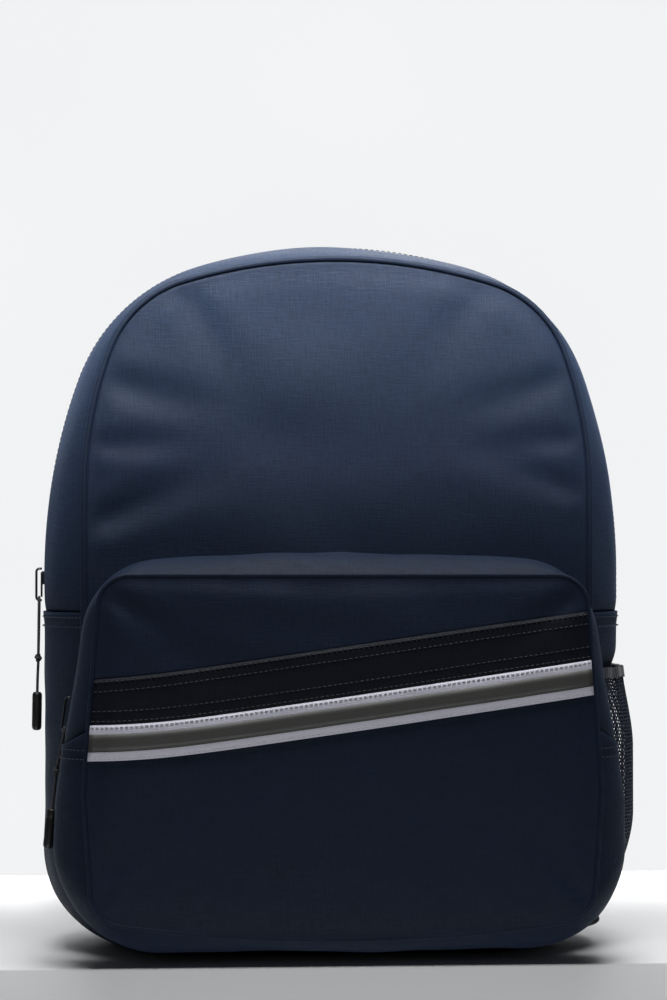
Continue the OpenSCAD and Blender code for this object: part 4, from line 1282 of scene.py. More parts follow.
def barrel_mesh(name, top, lean, material):
    """A moulded barrel with rounded ends and a fine waist line near the top."""
    profile = [(0.0, 0.0), (1.6, 0.0), (2.3, -0.35), (2.75, -1.2), (2.9, -2.2), (2.9, -5.0),
               (2.78, -5.4), (2.9, -5.8), (2.9, -20.2),
               (2.75, -21.6), (2.2, -22.6), (1.3, -23.0), (0.0, -23.0)]
    bm = bmesh.new()
    sides = 28
    rings = []
    for r, z in profile:
        if r == 0:
            rings.append([bm.verts.new((0, 0, z * MM))])
        else:
            rings.append([bm.verts.new((r * MM * math.cos(2 * math.pi * k / sides),
                                        r * MM * math.sin(2 * math.pi * k / sides),
                                        z * MM)) for k in range(sides)])
    for a, b in zip(rings, rings[1:]):
        for k in range(sides):
            m = (k + 1) % sides
            if len(a) == 1:
                bm.faces.new((a[0], b[k], b[m]))
            elif len(b) == 1:
                bm.faces.new((a[k], b[0], a[m]))
            else:
                bm.faces.new((a[k], b[k], b[m], a[m]))
    place = Matrix.Translation(Vector(top) * MM) @ Matrix.Rotation(math.radians(lean), 4, "Y")
    bmesh.ops.transform(bm, matrix=place, verts=bm.verts)
    mesh = bpy.data.meshes.new(name)
    bm.to_mesh(mesh)
    bm.free()
    mesh.materials.append(material)
    return outward(shade(new_object(name, mesh)))


def build_pulls():
    made = []
    for which, route, knot, top, lean, body in (
            ("main", MAIN_CORD, (-176.7, -5, 172), (-177.2, -5, 151.5), 0.8, "main_pull"),
            ("pocket", POCKET_CORD, (-162.6, -80.6, 110.5), (-165, -80.6, 88.5), 6.3,
             "pocket_pull")):
        cord, length = cord_curve(f"{which}_pull_cord_line", route, CORD_WIDTH, MATERIALS["cord"])
        mount(cord, body, slot="pull_cord", replaces=(f"{which}_pull_cord",))
        knot_piece = knot_mesh(f"{which}_knot", knot, lean, MATERIALS["cord"])
        mount(knot_piece, body, slot="pull_cord", replaces=(f"{which}_pull_knot",))
        barrel = barrel_mesh(f"{which}_barrel", top, lean, MATERIALS["barrel"])
        mount(barrel, body, slot="pull_barrel", replaces=(f"{which}_pull_barrel",))
        slider = slider_parts(f"{which}_slider_body",
                              MAIN_SLIDER if which == "main" else POCKET_SLIDER)
        mount(slider, f"{which}_slider", slot="slider", replaces=(f"{which}_slider",))
        made += [cord, knot_piece, barrel, slider]
    return made


# ---------------------------------------------------------------------------
# Mesh pocket
# ---------------------------------------------------------------------------
MESH_HALF_Y = 58.0
MESH_TOP = 167.0
NET_OPENING = 0.72


def corner_x(o, z):
    z = np.asarray(z, float)
    d = np.clip(o.base + o.corner_r - z, 0, o.corner_r)
    return o.half - o.corner_r + np.sqrt(o.corner_r**2 - d * d)


def hollow_at(z):
    return 9.5 * smooth(12, 45, z) * (1 - smooth(186, 199, z))


def mesh_surface(z, w, raised=0.0):
    """A point of the mesh pocket at height z and share w of the way from the middle to an edge."""
    k = float(gusset_k(MESH_HALF_Y))
    seam = corner_x(SEAM, z)
    mid = corner_x(MID, z) - hollow_at(z)
    edge = seam + (mid - seam) * k + 2.5
    low = float(corner_x(MID, 14.0)) + 3
    reach = low + (183.0 - low) * smooth(-15, 80, z)
    reach = reach + (174.5 - reach) * smooth(118, MESH_TOP + 12, z)
    reach = np.maximum(reach, edge + 1)
    gathers = 0.7 * np.sin(w * 26.0 + 0.6 * np.sin(z / 17.0)) * smooth(128, 166, z)
    gathers = gathers * (1 - np.abs(w) ** 8)
    x = edge + (reach - edge) * (1 - np.abs(w) ** 2.6) + gathers + raised
    return x, MESH_HALF_Y * w, z


def hex_mesh():
    """Hexagonal net: the dual of a triangle lattice, each cell opened by geometry nodes."""
    pitch = 2.5
    cols, rows = int(2 * MESH_HALF_Y / pitch), int((MESH_TOP - 14) / (pitch * 0.866))
    verts, faces = [], []
    for r in range(rows + 1):
        z = 14 + (MESH_TOP - 5 - 14) * r / rows
        for c in range(cols + 1):
            w = ((c + 0.5 * (r % 2)) / (cols + 0.5)) * 2 - 1
            verts.append([q * MM for q in mesh_surface(z, w)])
    for r in range(rows):
        for c in range(cols):
            a, b = r * (cols + 1) + c, r * (cols + 1) + c + 1
            d, e = a + cols + 1, b + cols + 1
            faces += [(a, b, d), (b, e, d)] if r % 2 == 0 else [(a, e, d), (a, b, e)]
    mesh = bpy.data.meshes.new("bottle_net")
    mesh.from_pydata([tuple(float(q) for q in v) for v in verts], [], faces)
    obj = new_object("bottle_net", mesh)
    tree = bpy.data.node_groups.new("net_tree", "GeometryNodeTree")
    tree.interface.new_socket("Geometry", in_out="INPUT", socket_type="NodeSocketGeometry")
    hole = tree.interface.new_socket("Cell opening", in_out="INPUT", socket_type="NodeSocketFloat")
    tree.interface.new_socket("Geometry", in_out="OUTPUT", socket_type="NodeSocketGeometry")
    link = tree.links.new
    source, sink = tree.nodes.new("NodeGroupInput"), tree.nodes.new("NodeGroupOutput")
    dual = tree.nodes.new("GeometryNodeDualMesh")
    dual.inputs["Keep Boundaries"].default_value = True
    extrude = tree.nodes.new("GeometryNodeExtrudeMesh")
    extrude.mode = "FACES"
    extrude.inputs["Individual"].default_value = True
    extrude.inputs["Offset Scale"].default_value = 0.0
    scale = tree.nodes.new("GeometryNodeScaleElements")
    delete = tree.nodes.new("GeometryNodeDeleteGeometry")
    delete.domain = "FACE"
    real = tree.nodes.new("GeometryNodeRealizeInstances")
    paint = tree.nodes.new("GeometryNodeSetMaterial")
    paint.inputs["Material"].default_value = MATERIALS["mesh"]
    link(source.outputs["Geometry"], dual.inputs["Mesh"])
    link(dual.outputs["Dual Mesh"], extrude.inputs["Mesh"])
    link(extrude.outputs["Mesh"], scale.inputs["Geometry"])
    link(extrude.outputs["Top"], scale.inputs["Selection"])
    link(source.outputs["Cell opening"], scale.inputs["Scale"])
    link(scale.outputs["Geometry"], delete.inputs["Geometry"])
    link(extrude.outputs["Top"], delete.inputs["Selection"])
    link(delete.outputs["Geometry"], real.inputs["Geometry"])
    link(real.outputs["Geometry"], paint.inputs["Geometry"])
    link(paint.outputs["Geometry"], sink.inputs["Geometry"])
    modifier = obj.modifiers.new("net", "NODES")
    modifier.node_group = tree
    modifier[hole.identifier] = NET_OPENING
    wall = obj.modifiers.new("yarn", "SOLIDIFY")
    wall.thickness, wall.offset = 0.5 * MM, 0.0
    obj = applied(obj)
    outward(obj)
    return shade(obj)


def build_mesh_pocket():
    net = hex_mesh()
    mount(net, "bag", slot="mesh", replaces=("mesh_pocket",))
    hem = []
    for z in np.linspace(MESH_TOP - 6.5, MESH_TOP, 5):
        hem.append([mesh_surface(z, w, 1.3) for w in np.linspace(-1, 1, 61)])
    hem = np.transpose(np.array(hem, float), (1, 0, 2))
    uv = np.stack(np.broadcast_arrays(hem[..., 1], hem[..., 2]), 2)
    hem_obj = sheet_mesh("net_hem_elastic", hem, uv, MATERIALS["webbing"], 2.4, towards=(0, 0, 160),
                         levels=1)
    mount(hem_obj, "bag", slot="mesh", replaces=("mesh_hem",))
    # Bound edges of the net
    made = [net, hem_obj]
    for sign in (-1, 1):
        line = [mesh_surface(z, sign * 0.995, 0.2) for z in np.linspace(15, MESH_TOP, 34)]
        edge = tube_mesh(f"net_binding_{'front' if sign < 0 else 'back'}", line, 1.6,
                         MATERIALS["band"], 10, reference=(0, 1, 0), squash=0.6)
        mount(edge, "bag", slot="mesh")
        made.append(edge)
    line = [mesh_surface(14.2, w, 0.2) for w in np.linspace(-0.99, 0.99, 34)]
    edge = tube_mesh("net_binding_foot", line, 1.4, MATERIALS["band"], 10, reference=(0, 0, 1))
    mount(edge, "bag", slot="mesh")
    return made + [edge]


# ---------------------------------------------------------------------------
# Straps, pads, handle, base
# ---------------------------------------------------------------------------
def pillow(name, outline, centre, y, thickness, material, rings=14, relief=None, levels=1,
           edge=0.35):
    """A padded piece sewn flat to the back: its front swells from a thin sewn edge."""
    b = np.asarray(outline, float)
    c = np.asarray(centre, float)
    grid, share = ringed(b, c, rings, 1.0)
    x, z = grid[..., 0], grid[..., 1]
    reach = np.linalg.norm(b - c, axis=1)[None, :] * (1 - share[:, None])
    rise = edge + (1 - edge) * np.clip(reach / 12.0, 0, 1) ** 0.5
    rise = rise * thickness
    if relief is not None:
        rise = rise + relief(x, z) * smooth(4, 16, reach)
    front = np.stack([x, y + rise, z], 2)
    base_grid, _ = ringed(b, c, 4, 1.0)
    bx, bz = base_grid[..., 0], base_grid[..., 1]
    back = np.stack([bx, y + 0.2 + 0 * bx, bz], 2)
    both_rows = np.concatenate([back[::-1], front], 0)
    uv = both_rows[..., [0, 2]]
    return closed_rings(name, both_rows, uv, material, levels)


def closed_rings(name, rows, uv, material, levels=1):
    """Rings stacked into a closed skin with a fan at each end."""
    p = np.asarray(rows, float) * MM
    uv = np.asarray(uv, float) * MM
    n, m = p.shape[:2]
    verts = [tuple(q) for q in p.reshape(-1, 3)]
    uvs = [tuple(q) for q in uv.reshape(-1, 2)]
    faces = [(r * m + k, r * m + (k + 1) % m, (r + 1) * m + (k + 1) % m,
              (r + 1) * m + k) for r in range(n - 1) for k in range(m)]
    faces += ladder(list(range(m))[::-1]) + ladder([(n - 1) * m + k for k in range(m)])
    mesh = bpy.data.meshes.new(name)
    mesh.from_pydata(verts, [], faces)
    layer = mesh.uv_layers.new(name="cloth")
    index = np.zeros(len(mesh.loops), int)
    mesh.loops.foreach_get("vertex_index", index)
    layer.data.foreach_set("uv", np.array(uvs)[index].ravel())
    mesh.materials.append(material)
    obj = outward(shade(new_object(name, mesh)))
    if levels:
        modifier = obj.modifiers.new("round", "SUBSURF")
        modifier.levels = modifier.render_levels = levels
        obj = applied(obj)
    return obj


def round_rect(x0, x1, z0, z1, r, steps=8):
    points = []
    for cx, cz, start in ((x1 - r, z0 + r, -90), (x1 - r, z1 - r, 0), (x0 + r, z1 - r, 90),
                          (x0 + r, z0 + r, 180)):
        points += [np.array([cx + r * math.cos(math.radians(start + a)),
                             cz + r * math.sin(math.radians(start + a))])
                   for a in np.linspace(0, 90, steps)]
    return resampled(points, 5.0)


def resampled(points, gap):
    p = np.vstack([points, points[0]])
    s = lengths(p)
    n = max(8, int(round(s[-1] / gap)))
    at = np.linspace(0, s[-1], n, endpoint=False)
    return np.stack([np.interp(at, s, p[:, 0]), np.interp(at, s, p[:, 1])], 1)


def build_back():
    made = []
    channels = lambda x, z: -3.2 * np.exp(-(((z - 118) % 53.5 - 53.5 / 2) / 3.4) ** 2)
    for side, x0, x1 in (("left", -104, -20), ("right", 20, 104)):
        pad = pillow(f"back_pad_{side}_foam", round_rect(x0, x1, 118, 332, 16),
                     ((x0 + x1) / 2, 225), BACK_Y, 10, MATERIALS["air"], 12, channels)
        mount(pad, "bag", slot="air_mesh", replaces=(f"back_pad_{side}",))
        edge = [(p[0], 68.4, p[1]) for p in round_rect(x0, x1, 118, 332, 16)]
        rim = tube_mesh(f"back_pad_{side}_binding", edge, 1.7, MATERIALS["webbing"], 10,
                        closed=True)
        mount(rim, "bag", slot="webbing")
        made += [pad, rim]
    pad = pillow("lumbar_foam", round_rect(-104, 104, 46, 108, 16), (0, 77), BACK_Y, 10,
                 MATERIALS["air"], 10)
    mount(pad, "bag", slot="air_mesh", replaces=("lumbar_pad",))
    edge = [(p[0], 68.4, p[1]) for p in round_rect(-104, 104, 46, 108, 16)]
    rim = tube_mesh("lumbar_binding", edge, 1.7, MATERIALS["webbing"], 10, closed=True)
    mount(rim, "bag", slot="webbing")
    made += [pad, rim]
    corners = [(-104, 338), (104, 338), (92, 364), (-92, 364)]
    outline = resampled(np.array(corners, float), 4.0)
    yoke = pillow("yoke_cloth", outline, (0, 350), 66.6, 2.4, MATERIALS["navy"], 8, edge=0.8)
    mount(yoke, "bag", slot="navy_cloth", replaces=("strap_yoke",))
    made.append(yoke)
    rows = []
    for inset in (2.5, 6.0):
        ring = [(-104 + inset * 1.4, 338 + inset), (104 - inset * 1.4, 338 + inset),
                (92 - inset, 364 - inset), (-92 + inset, 364 - inset)]
        ring = resampled(np.array(ring, float), 3.0)
        rows.append([(p[0], 69.25, p[1]) for p in ring])
    obj = stitches("yoke_stitches", rows, MATERIALS["thread"], *STITCH)
    mount(obj, "bag", slot="navy_cloth")
    made.append(obj)
    for side, sign in (("left", -1), ("right", 1)):
        corners = np.array([(139, 32), (144, 50), (144, 90), (114, 68), (110, 46)], float)
        corners = corners * (sign, 1)
        wing = pillow(f"wing_{side}_cloth", resampled(corners, 3.0), corners.mean(0), BACK_Y, 2.6,
                      MATERIALS["navy"], 8, edge=0.8)
        mount(wing, "bag", slot="navy_cloth", replaces=(f"strap_wing_{side}",))
        made.append(wing)
    return made


def strap_centre(t, sign):
    side = 54 + 38 * smooth(0, 0.9, t) + 6 * math.sin(math.pi * t)
    y = 66.5 + 9.5 + 46 * math.sin(math.pi * min(1, 0.86 * t)) ** 0.9
    return np.array([sign * side, y, 346 - 222 * t])


def strap_half(t):
    return 31 * (1 - 0.28 * float(smooth(0.3, 1, t)))


def strap_frame(t, sign):
    e = 1e-3
    d = strap_centre(min(1, t + e), sign) - strap_centre(max(0, t - e), sign)
    d /= np.linalg.norm(d)
    wide = np.array([1.0, 0, 0]) - d * d[0]
    wide /= np.linalg.norm(wide)
    out = np.cross(wide, d)
    if out[1] < 0:
        out = -out
    return d, wide, out


def build_straps():
    made = []
    for side, sign in (("left", -1), ("right", 1)):
        stations = np.linspace(0.0, 1.0, 46)
        ring_steps = 36
        rows, uvs = [], []
        s = lengths([strap_centre(t, sign) for t in stations])
        for i, t in enumerate(stations):
            c = strap_centre(t, sign)
            d, wide, out = strap_frame(t, sign)
            w, h = strap_half(t), 5.5
            end = 1 - 0.16 * (1 - smooth(0, 0.02, t)) - 0.28 * smooth(0.985, 1.0, t)
            row, uv = [], []
            for k in range(ring_steps):
                a = 2 * math.pi * k / ring_steps
                ca, sa = math.cos(a), math.sin(a)
                px = w * math.copysign(abs(ca) ** 0.42, ca) * end
                profile = math.copysign(abs(sa) ** 0.62, sa) * h
                row.append(c + wide * px + out * profile)
                uv.append((px + (1000 if sa < 0 else 0), s[i]))
            rows.append(row)
            uvs.append(uv)
        strap = closed_rings(f"strap_{side}_foam", rows, uvs, MATERIALS["navy"], 1)
        strap.data.materials.append(MATERIALS["air"])
        route = np.array([strap_centre(t, sign) for t in stations]) * MM
        outs = np.array([strap_frame(t, sign)[2] for t in stations])
        zs = route[:, 2]
        for poly in strap.data.polygons:
            p = np.array(poly.center)
            i = int(np.argmin(np.abs(zs - p[2])))
            if (p - route[i]) @ outs[i] < -0.0002:
                poly.material_index = 1
        mount(strap, f"strap_{side}", slot="navy_cloth", replaces=(f"strap_{side}",))
        made.append(strap)
        for edge_sign in (-1, 1):
            line = []
            for t in stations[1:-1]:
                c = strap_centre(t, sign)
                d, wide, out = strap_frame(t, sign)
                line.append(c + wide * strap_half(t) * edge_sign * 0.985)
            rim = tube_mesh(f"strap_{side}_binding_{'in' if edge_sign < 0 else 'out'}", line, 2.3,
                            MATERIALS["webbing"], 10, reference=(0, 1, 0), squash=0.75)
            mount(rim, f"strap_{side}", slot="webbing")
            made.append(rim)
        ribbon = strap_ribbon(side, sign)
        made += ribbon
        made += lower_strap(side, sign)
    return made


def ribbon_mesh(name, centres, wides, outs, width, thickness, material, levels=1):
    rows, uvs = [], []
    s = lengths(centres)
    for i, (c, w, o) in enumerate(zip(centres, wides, outs)):
        profile = [(-1, 0), (-0.97, 0.5), (-0.5, 0.5), (0, 0.5), (0.5, 0.5), (0.97, 0.5), (1, 0),
                   (0.97, -0.5), (0.5, -0.5), (0, -0.5), (-0.5, -0.5), (-0.97, -0.5)]
        rows.append([c + w * width / 2 * a + o * thickness * b for a, b in profile])
        uvs.append([(width / 2 * a, s[i]) for a, b in profile])
    return closed_rings(name, rows, uvs, material, levels)


def strap_ribbon(side, sign):
    made = []
    ts = np.linspace(0.34, 0.99, 34)
    frames = [strap_frame(t, sign) for t in ts]
    centres = [strap_centre(t, sign) + f[2] * 6.2 for t, f in zip(ts, frames)]
    ribbon = ribbon_mesh(f"strap_{side}_ribbon", centres, [f[1] for f in frames],
                         [f[2] for f in frames], 25, 1.5, MATERIALS["webbing"])
    mount(ribbon, f"strap_{side}", slot="webbing", replaces=(f"strap_webbing_{side}",))
    made.append(ribbon)
    rows = []
    for off in (-10.5, 10.5):
        row = []
        for t in np.linspace(0.345, 0.985, 60):
            _, wide, out = strap_frame(t, sign)
            row.append(strap_centre(t, sign) + wide * off + out * 7.1)
        rows.append(row)
    obj = stitches(f"strap_{side}_stitches", rows, MATERIALS["dark_thread"], 3.4, 2.5, 0.32)
    mount(obj, f"strap_{side}", slot="webbing")
    made.append(obj)
    return made


LOCK = (92.0, 97.33, 106.0)


def lower_strap(side, sign):
    made = []
    bars = []
    for z in (-11.2, -3.4, 3.4, 11.2):
        bars.append(rounded_box("bar", (34, 4.6, 3.4), (0, 0, z), 1.0))
    for x in (-15.4, 15.4):
        bars.append(rounded_box("rail", (3.4, 5.0, 26), (x, 0, 0), 1.2))
    for bar in bars:
        bar.data.materials.append(MATERIALS["buckle"])
    lock = joined(f"ladder_{side}_moulding", bars)
    lock.data.transform(Matrix.Translation(Vector((sign * LOCK[0], LOCK[1], LOCK[2])) * MM))
    outward(lock)
    mount(lock, f"ladder_{side}", slot="buckle", replaces=(f"ladder_lock_{side}",))
    made.append(lock)
    route = [(112, 70.5, 57), (110, 76, 65), (107, 83, 74), (103, 89, 84), (99, 92.3, 94),
             (96, 93, 104)]
    fine = spline_through([(sign * p[0], p[1], p[2]) for p in route], 5)
    d = np.gradient(fine, axis=0)
    d /= np.linalg.norm(d, axis=1, keepdims=True)
    wide = np.array([1.0, 0, 0]) - d * d[:, :1]
    wide /= np.linalg.norm(wide, axis=1, keepdims=True)
    outs = np.cross(wide, d)
    outs *= np.sign(outs[:, 1:2])
    tail = ribbon_mesh(f"lower_ribbon_{side}", fine, wide, outs, 25, 1.5, MATERIALS["webbing"])
    mount(tail, blend=("bag", f"strap_{side}", (sign * 0.112, 0.0705, 0.057),
                       (sign * 0.096, 0.093, 0.104)), slot="webbing",
          replaces=(f"lower_webbing_{side}",))
    made.append(tail)
    return made


def handle_point(t):
    a = math.pi * t
    return np.array([-52 * math.cos(a) * (1 + 0.12 * math.sin(a)), 75.5,
                     399 - 40 * math.sin(a) ** 0.7])


def build_handle():
    made = []
    ends = []
    for name, ts in (("left", np.linspace(0.0, 0.17, 10)), ("right", np.linspace(0.83, 1.0, 10))):
        centres = [handle_point(t) for t in ts]
        d = np.gradient(np.array(centres), axis=0)
        d /= np.linalg.norm(d, axis=1, keepdims=True)
        wide = np.tile(np.array([0.0, 1.0, 0.0]), (len(ts), 1))
        outs = np.cross(wide, d)
        ends.append(ribbon_mesh(f"handle_{name}_end", centres, wide, outs, 9, 1.6,
                                MATERIALS["webbing"]))
    webbing = joined("handle_ribbon", ends)
    mount(webbing, "handle", slot="webbing", replaces=("handle_webbing",))
    ts = np.linspace(0.165, 0.835, 60)
    centres = [handle_point(t) for t in ts]
    taper = np.array([6.4 * (1 - 0.35 * max(0, 1 - min(t - 0.165, 0.835 - t) / 0.02)) for t in ts])
    grip = tube_mesh("handle_padding", centres, taper, MATERIALS["navy"], 20, reference=(0, 1, 0))
    mount(grip, "handle", slot="navy_cloth", replaces=("handle_grip",))
    line = [handle_point(t) + np.array([0, 6.45, 0]) for t in np.linspace(0.18, 0.82, 60)]
    obj = stitches("handle_stitches", [line], MATERIALS["thread"], *STITCH)
    mount(obj, "handle", slot="navy_cloth")
    return [webbing, grip, obj]


def build_inside():
    made = []
    path = resampled_line([(-118, 60), (-118, 47.2), (118, 47.2), (118, 60)], 6.0)
    s = lengths(path)
    grid, uv = [], []
    for (x, y), along in zip(path, s):
        column, cuv = [], []
        for z in np.linspace(12, 282, 44):
            hold = float(smooth(0, 20, 118 - abs(x)) * smooth(0, 30, z - 12))
            swell = 1.6 + 0.9 * float(wave(x, z, 91, 120))
            column.append((x, y - swell * hold, z))
            cuv.append((along, z))
        grid.append(column)
        uv.append(cuv)
    sleeve = sheet_mesh("sleeve_cloth", grid, uv, MATERIALS["lining"], 1.2, towards=(0, 100, 140),
                        levels=1)
    mount(sleeve, "bag", slot="lining", replaces=("inner_sleeve",))
    made.append(sleeve)
    edge = tube_mesh("sleeve_binding", [(x, y, 282.0) for x, y in path], 1.7, MATERIALS["webbing"],
                     10, reference=(0, 0, 1))
    mount(edge, "bag", slot="lining")
    made.append(edge)
    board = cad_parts["base_board"]
    board.data.materials.clear()
    board.data.materials.append(MATERIALS["board"])
    return made


def resampled_line(points, gap):
    p = np.asarray(points, float)
    s = lengths(p)
    at = np.unique(np.concatenate([np.linspace(0, s[-1], int(s[-1] / gap) + 1), s]))
    return np.stack([np.interp(at, s, p[:, 0]), np.interp(at, s, p[:, 1])], 1)


# ---------------------------------------------------------------------------
# Stage
# ---------------------------------------------------------------------------
def build_camera(stage):
    data = bpy.data.cameras.new("camera")
    data.sensor_width = 36.0
    data.lens = stage.lens
    camera = new_object("camera", data)
    camera.location = CAMERA_AT
    yaw = -math.atan2(-CAMERA_AT[0], -CAMERA_AT[1]) - math.radians(CAMERA_TURN)
    camera.rotation_euler = (math.radians(CAMERA_TILT), 0, yaw)
    bpy.context.scene.camera = camera


def stage_material(name, colour, roughness, bump):
    s = Shader(name)
    grain = s.noise(s.place((1, 1, 1)), 220.0, 4.0, 0.6)
    broad = s.noise(s.place((1, 1, 1)), 4.0, 3.0, 0.5)
    tint = s.mix(broad, rgba(colour, 0.985), rgba(colour, 1.015))
    return s.finish(tint, roughness, grain, bump, 0.0002)


def glowing_wall(colour):
    """A white wall that holds its own brightness, with a faint unevenness."""
    s = Shader("wall_paint")
    broad = s.noise(s.place((1, 1, 1)), 1.3, 2.0, 0.5)
    tint = s.mix(broad, rgba(colour, 0.97), rgba(colour, 1.03))
    s.fixed(Emission_Strength=1.0, Roughness=1.0, Specular_IOR_Level=0.0)
    s.set(s.surface.inputs["Emission Color"], tint)
    return s.finish((0.02, 0.02, 0.02, 1), 1.0)


def build_stage(stage):
    shelf = rounded_box("shelf", (2400, 444, 60), (0, 123, -30.0), 1.2, 3)
    shelf.data.materials.append(stage_material("shelf_paint", tuple(stage.shelf), 0.5, 0.05))
    wall_mesh = bpy.data.meshes.new("wall")
    wall_mesh.from_pydata([(-1.6, 3.2, -1.2), (1.6, 3.2, -1.2), (1.6, 3.2, 2.2), (-1.6, 3.2, 2.2)],
                          [], [(0, 1, 2, 3)])
    wall = new_object("wall", wall_mesh)
    wall_mesh.materials.append(glowing_wall(tuple(stage.wall)))
    parts = [shelf, wall]
    for name, place, aim, size, power, spread in (
            ("key_light", (0.0, -0.26, 1.15), (0, -0.10, 0.30), (0.9, 0.36), stage.key, 150),
            ("crown_light", (0.0, -1.3, 1.5), (0, -0.07, 0.50), (0.9, 0.12), stage.crown, 14),
            ("front_fill", (-0.9, -2.4, 0.9), (0, 0, 0.22), (1.6, 1.6), stage.fill, 180),
            ("shelf_light", (0.0, -0.1, 2.6), (0, 0.05, 0.0), (2.6, 1.0), stage.wash, 180),
            ("shelf_front_light", (0.0, -0.7, -0.4), (0, -0.099, -0.03), (1.2, 0.2), stage.front,
             120),
            ("back_light", (0.3, 1.5, 1.35), (0, 0.1, 0.2), (1.2, 0.6), stage.back, 150)):
        light = bpy.data.lights.new(name, "AREA")
        light.shape = "RECTANGLE"
        light.size, light.size_y = size
        light.energy = power
        light.spread = math.radians(spread)
        lamp = new_object(name, light)
        lamp.location = place
        lamp.rotation_euler = (Vector(aim) - Vector(place)).to_track_quat("-Z", "Y").to_euler()
        parts.append(lamp)
    world = bpy.data.worlds.new("surround")
    world.use_nodes = True
    world.node_tree.nodes["Background"].inputs["Color"].default_value = (0.92, 0.96, 1.0, 1)
    world.node_tree.nodes["Background"].inputs["Strength"].default_value = stage.sky
    bpy.context.scene.world = world
    bpy.context.scene.view_settings.view_transform = "Standard"
    return parts


# ---------------------------------------------------------------------------
# Add-on
# ---------------------------------------------------------------------------
class BackpackColours(bpy.types.PropertyGroup):
    """Colours of the cloth and tapes, in linear light."""

    navy: FloatVectorProperty(name="Navy cloth", description="Main woven cloth", subtype="COLOR",
                              size=3, default=(0.0046, 0.0108, 0.0262), min=0, max=1)
    band: FloatVectorProperty(name="Dark band", description="Band above the tape", subtype="COLOR",
                              size=3, default=(0.0020, 0.0034, 0.0080), min=0, max=1)
    tape: FloatVectorProperty(name="White tape", description="Woven tape on the pocket",
                              subtype="COLOR", size=3, default=(0.55, 0.55, 0.64), min=0, max=1)
    silver: FloatVectorProperty(name="Silver stripe", description="Bead stripe in the tape",
                                subtype="COLOR", size=3, default=(0.048, 0.048, 0.046), min=0,
                                max=1)


class BackpackStage(bpy.types.PropertyGroup):
    """Camera, lights and surroundings."""

    lens: FloatProperty(name="Lens", description="Focal length of the camera",
                        subtype="DISTANCE_CAMERA", default=94.75, min=20, max=300)
    key: FloatProperty(name="Top light", description="Power of the soft light overhead",
                       subtype="POWER", default=9.0, min=0)
    crown: FloatProperty(name="Crown light",
                         description="Power of the narrow light on the top of the front panel",
                         subtype="POWER", default=4.0, min=0)
    fill: FloatProperty(name="Front light", description="Power of the soft light in front",
                        subtype="POWER", default=0.15, min=0)
    wash: FloatProperty(name="Wash light", description="Power of the broad light on the shelf",
                        subtype="POWER", default=13.0, min=0)
    front: FloatProperty(name="Shelf front light",
                         description="Power of the low light on the shelf's front edge",
                         subtype="POWER", default=1.8, min=0)
    back: FloatProperty(name="Back light", description="Power of the soft light behind",
                        subtype="POWER", default=8.0, min=0)
    sky: FloatProperty(name="Surround", description="Strength of the white surround", default=0.035,
                       min=0)
    shelf: FloatVectorProperty(name="Shelf", description="Shelf paint", subtype="COLOR", size=3,
                               default=(0.80, 0.81, 0.82), min=0, max=1)
    wall: FloatVectorProperty(name="Wall", description="Wall paint", subtype="COLOR", size=3,
                              default=(0.88, 0.89, 0.90), min=0, max=1)


def run(builder, *args):
    made = builder(*args)
    if made is not None and not made:
        raise RuntimeError(f"{builder.__name__} made nothing")
    return {"FINISHED"}


class BACKPACK_OT_materials(bpy.types.Operator):
    """Make the cloth, tape, nylon and plastic materials"""

    bl_idname = "backpack.materials"
    bl_label = "Make materials"

    def execute(self, context):
        make_materials(context.scene.backpack_colours)
        return {"FINISHED"}


class BACKPACK_OT_camera(bpy.types.Operator):
    """Set the camera"""

    bl_idname = "backpack.camera"
    bl_label = "Set camera"

    def execute(self, context):
        build_camera(context.scene.backpack_stage)
        return {"FINISHED"}


class BACKPACK_OT_pulls(bpy.types.Operator):
    """Build both sliders with their cords, knots and barrels"""

    bl_idname = "backpack.pulls"
    bl_label = "Build sliders and pulls"

    def execute(self, context):
        return run(build_pulls)


class BACKPACK_OT_front_panel(bpy.types.Operator):
    """Build the front panel and its lining"""

    bl_idname = "backpack.front_panel"
    bl_label = "Build front panel"

    def execute(self, context):
        return run(build_front_panel)


class BACKPACK_OT_back_panel(bpy.types.Operator):
    """Build the back panel and its quilted lining"""

    bl_idname = "backpack.back_panel"
    bl_label = "Build back panel"

    def execute(self, context):
        return run(build_back_panel)


class BACKPACK_OT_gussets(bpy.types.Operator):
    """Build the side strips and their topstitching"""

    bl_idname = "backpack.gussets"
    bl_label = "Build side strips"

    def execute(self, context):
        return run(build_gussets)


class BACKPACK_OT_piping(bpy.types.Operator):
    """Build the piping around both panels"""

    bl_idname = "backpack.piping"
    bl_label = "Build piping"

    def execute(self, context):
        return run(build_piping)


class BACKPACK_OT_zip(bpy.types.Operator):
    """Build the main zip's tapes and teeth"""

    bl_idname = "backpack.zip"
    bl_label = "Build main zip"

    def execute(self, context):
        return run(build_zip)


class BACKPACK_OT_pocket(bpy.types.Operator):
    """Build the front pocket, its zip, band, tape and stitches"""

    bl_idname = "backpack.pocket"
    bl_label = "Build front pocket"

    def execute(self, context):
        return run(build_pocket)


class BACKPACK_OT_net(bpy.types.Operator):
    """Build the bottle pocket of hexagonal net"""

    bl_idname = "backpack.net"
    bl_label = "Build net pocket"

    def execute(self, context):
        return run(build_mesh_pocket)


class BACKPACK_OT_back(bpy.types.Operator):
    """Build the back pads, yoke and strap wings"""

    bl_idname = "backpack.back"
    bl_label = "Build back pads"

    def execute(self, context):
        return run(build_back)


class BACKPACK_OT_straps(bpy.types.Operator):
    """Build the shoulder straps, webbing and ladder locks"""

    bl_idname = "backpack.straps"
    bl_label = "Build shoulder straps"

    def execute(self, context):
        return run(build_straps)


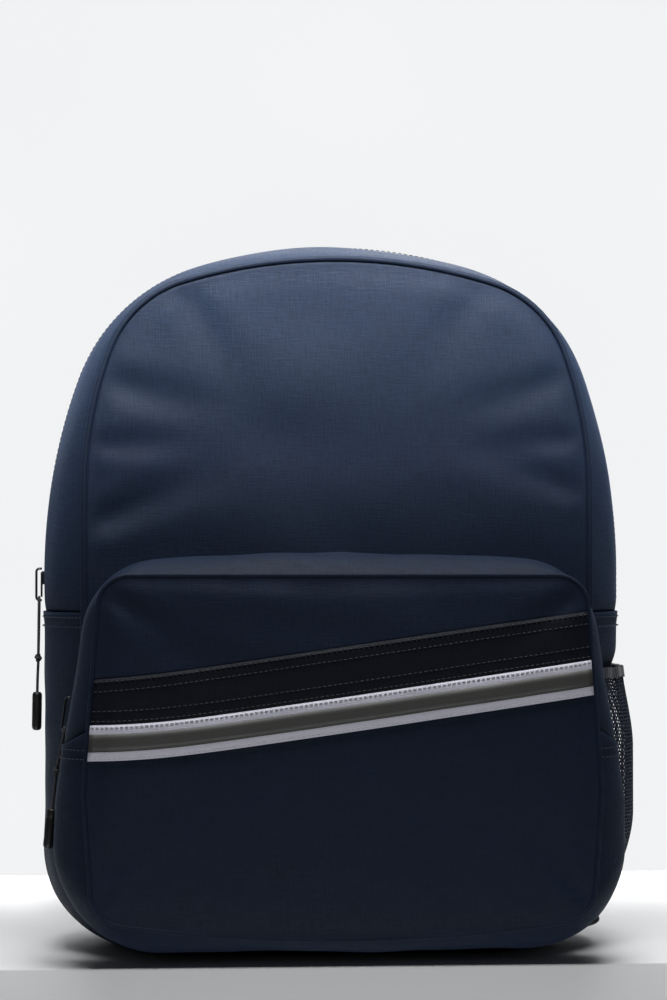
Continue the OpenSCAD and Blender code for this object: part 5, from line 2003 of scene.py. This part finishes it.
class BACKPACK_OT_handle(bpy.types.Operator):
    """Build the haul handle"""

    bl_idname = "backpack.handle"
    bl_label = "Build handle"

    def execute(self, context):
        return run(build_handle)


class BACKPACK_OT_inside(bpy.types.Operator):
    """Build the inner sleeve and finish the base board"""

    bl_idname = "backpack.inside"
    bl_label = "Build inside"

    def execute(self, context):
        return run(build_inside)


class BACKPACK_OT_stage(bpy.types.Operator):
    """Build the shelf, wall and lights"""

    bl_idname = "backpack.stage"
    bl_label = "Build stage"

    def execute(self, context):
        return run(build_stage, context.scene.backpack_stage)


STEPS = ("materials", "camera", "pulls", "front_panel", "back_panel", "gussets", "piping", "zip",
         "pocket", "net", "back", "straps",
         "handle", "inside", "stage")


class BACKPACK_PT_panel(bpy.types.Panel):
    """Colours, lights and one button for each step"""

    bl_idname = "BACKPACK_PT_panel"
    bl_label = "School backpack"
    bl_space_type = "VIEW_3D"
    bl_region_type = "UI"
    bl_category = "Backpack"

    def draw(self, context):
        for group in (context.scene.backpack_colours, context.scene.backpack_stage):
            box = self.layout.box()
            for name in group.__annotations__:
                box.prop(group, name)
        for step in STEPS:
            self.layout.operator("backpack." + step)


CLASSES = (BackpackColours, BackpackStage, BACKPACK_OT_materials, BACKPACK_OT_camera,
           BACKPACK_OT_pulls, BACKPACK_OT_front_panel,
           BACKPACK_OT_back_panel, BACKPACK_OT_gussets, BACKPACK_OT_piping, BACKPACK_OT_zip,
           BACKPACK_OT_pocket, BACKPACK_OT_net,
           BACKPACK_OT_back, BACKPACK_OT_straps, BACKPACK_OT_handle, BACKPACK_OT_inside,
           BACKPACK_OT_stage, BACKPACK_PT_panel)


def register():
    for cls in CLASSES:
        bpy.utils.register_class(cls)
    bpy.types.Scene.backpack_colours = PointerProperty(type=BackpackColours)
    bpy.types.Scene.backpack_stage = PointerProperty(type=BackpackStage)


def unregister():
    del bpy.types.Scene.backpack_stage
    del bpy.types.Scene.backpack_colours
    for cls in reversed(CLASSES):
        bpy.utils.unregister_class(cls)


def main():
    register()
    for step in STEPS:
        if getattr(bpy.ops.backpack, step)() != {"FINISHED"}:
            raise RuntimeError(f"step {step} did not finish")


if __name__ == "__main__":
    main()
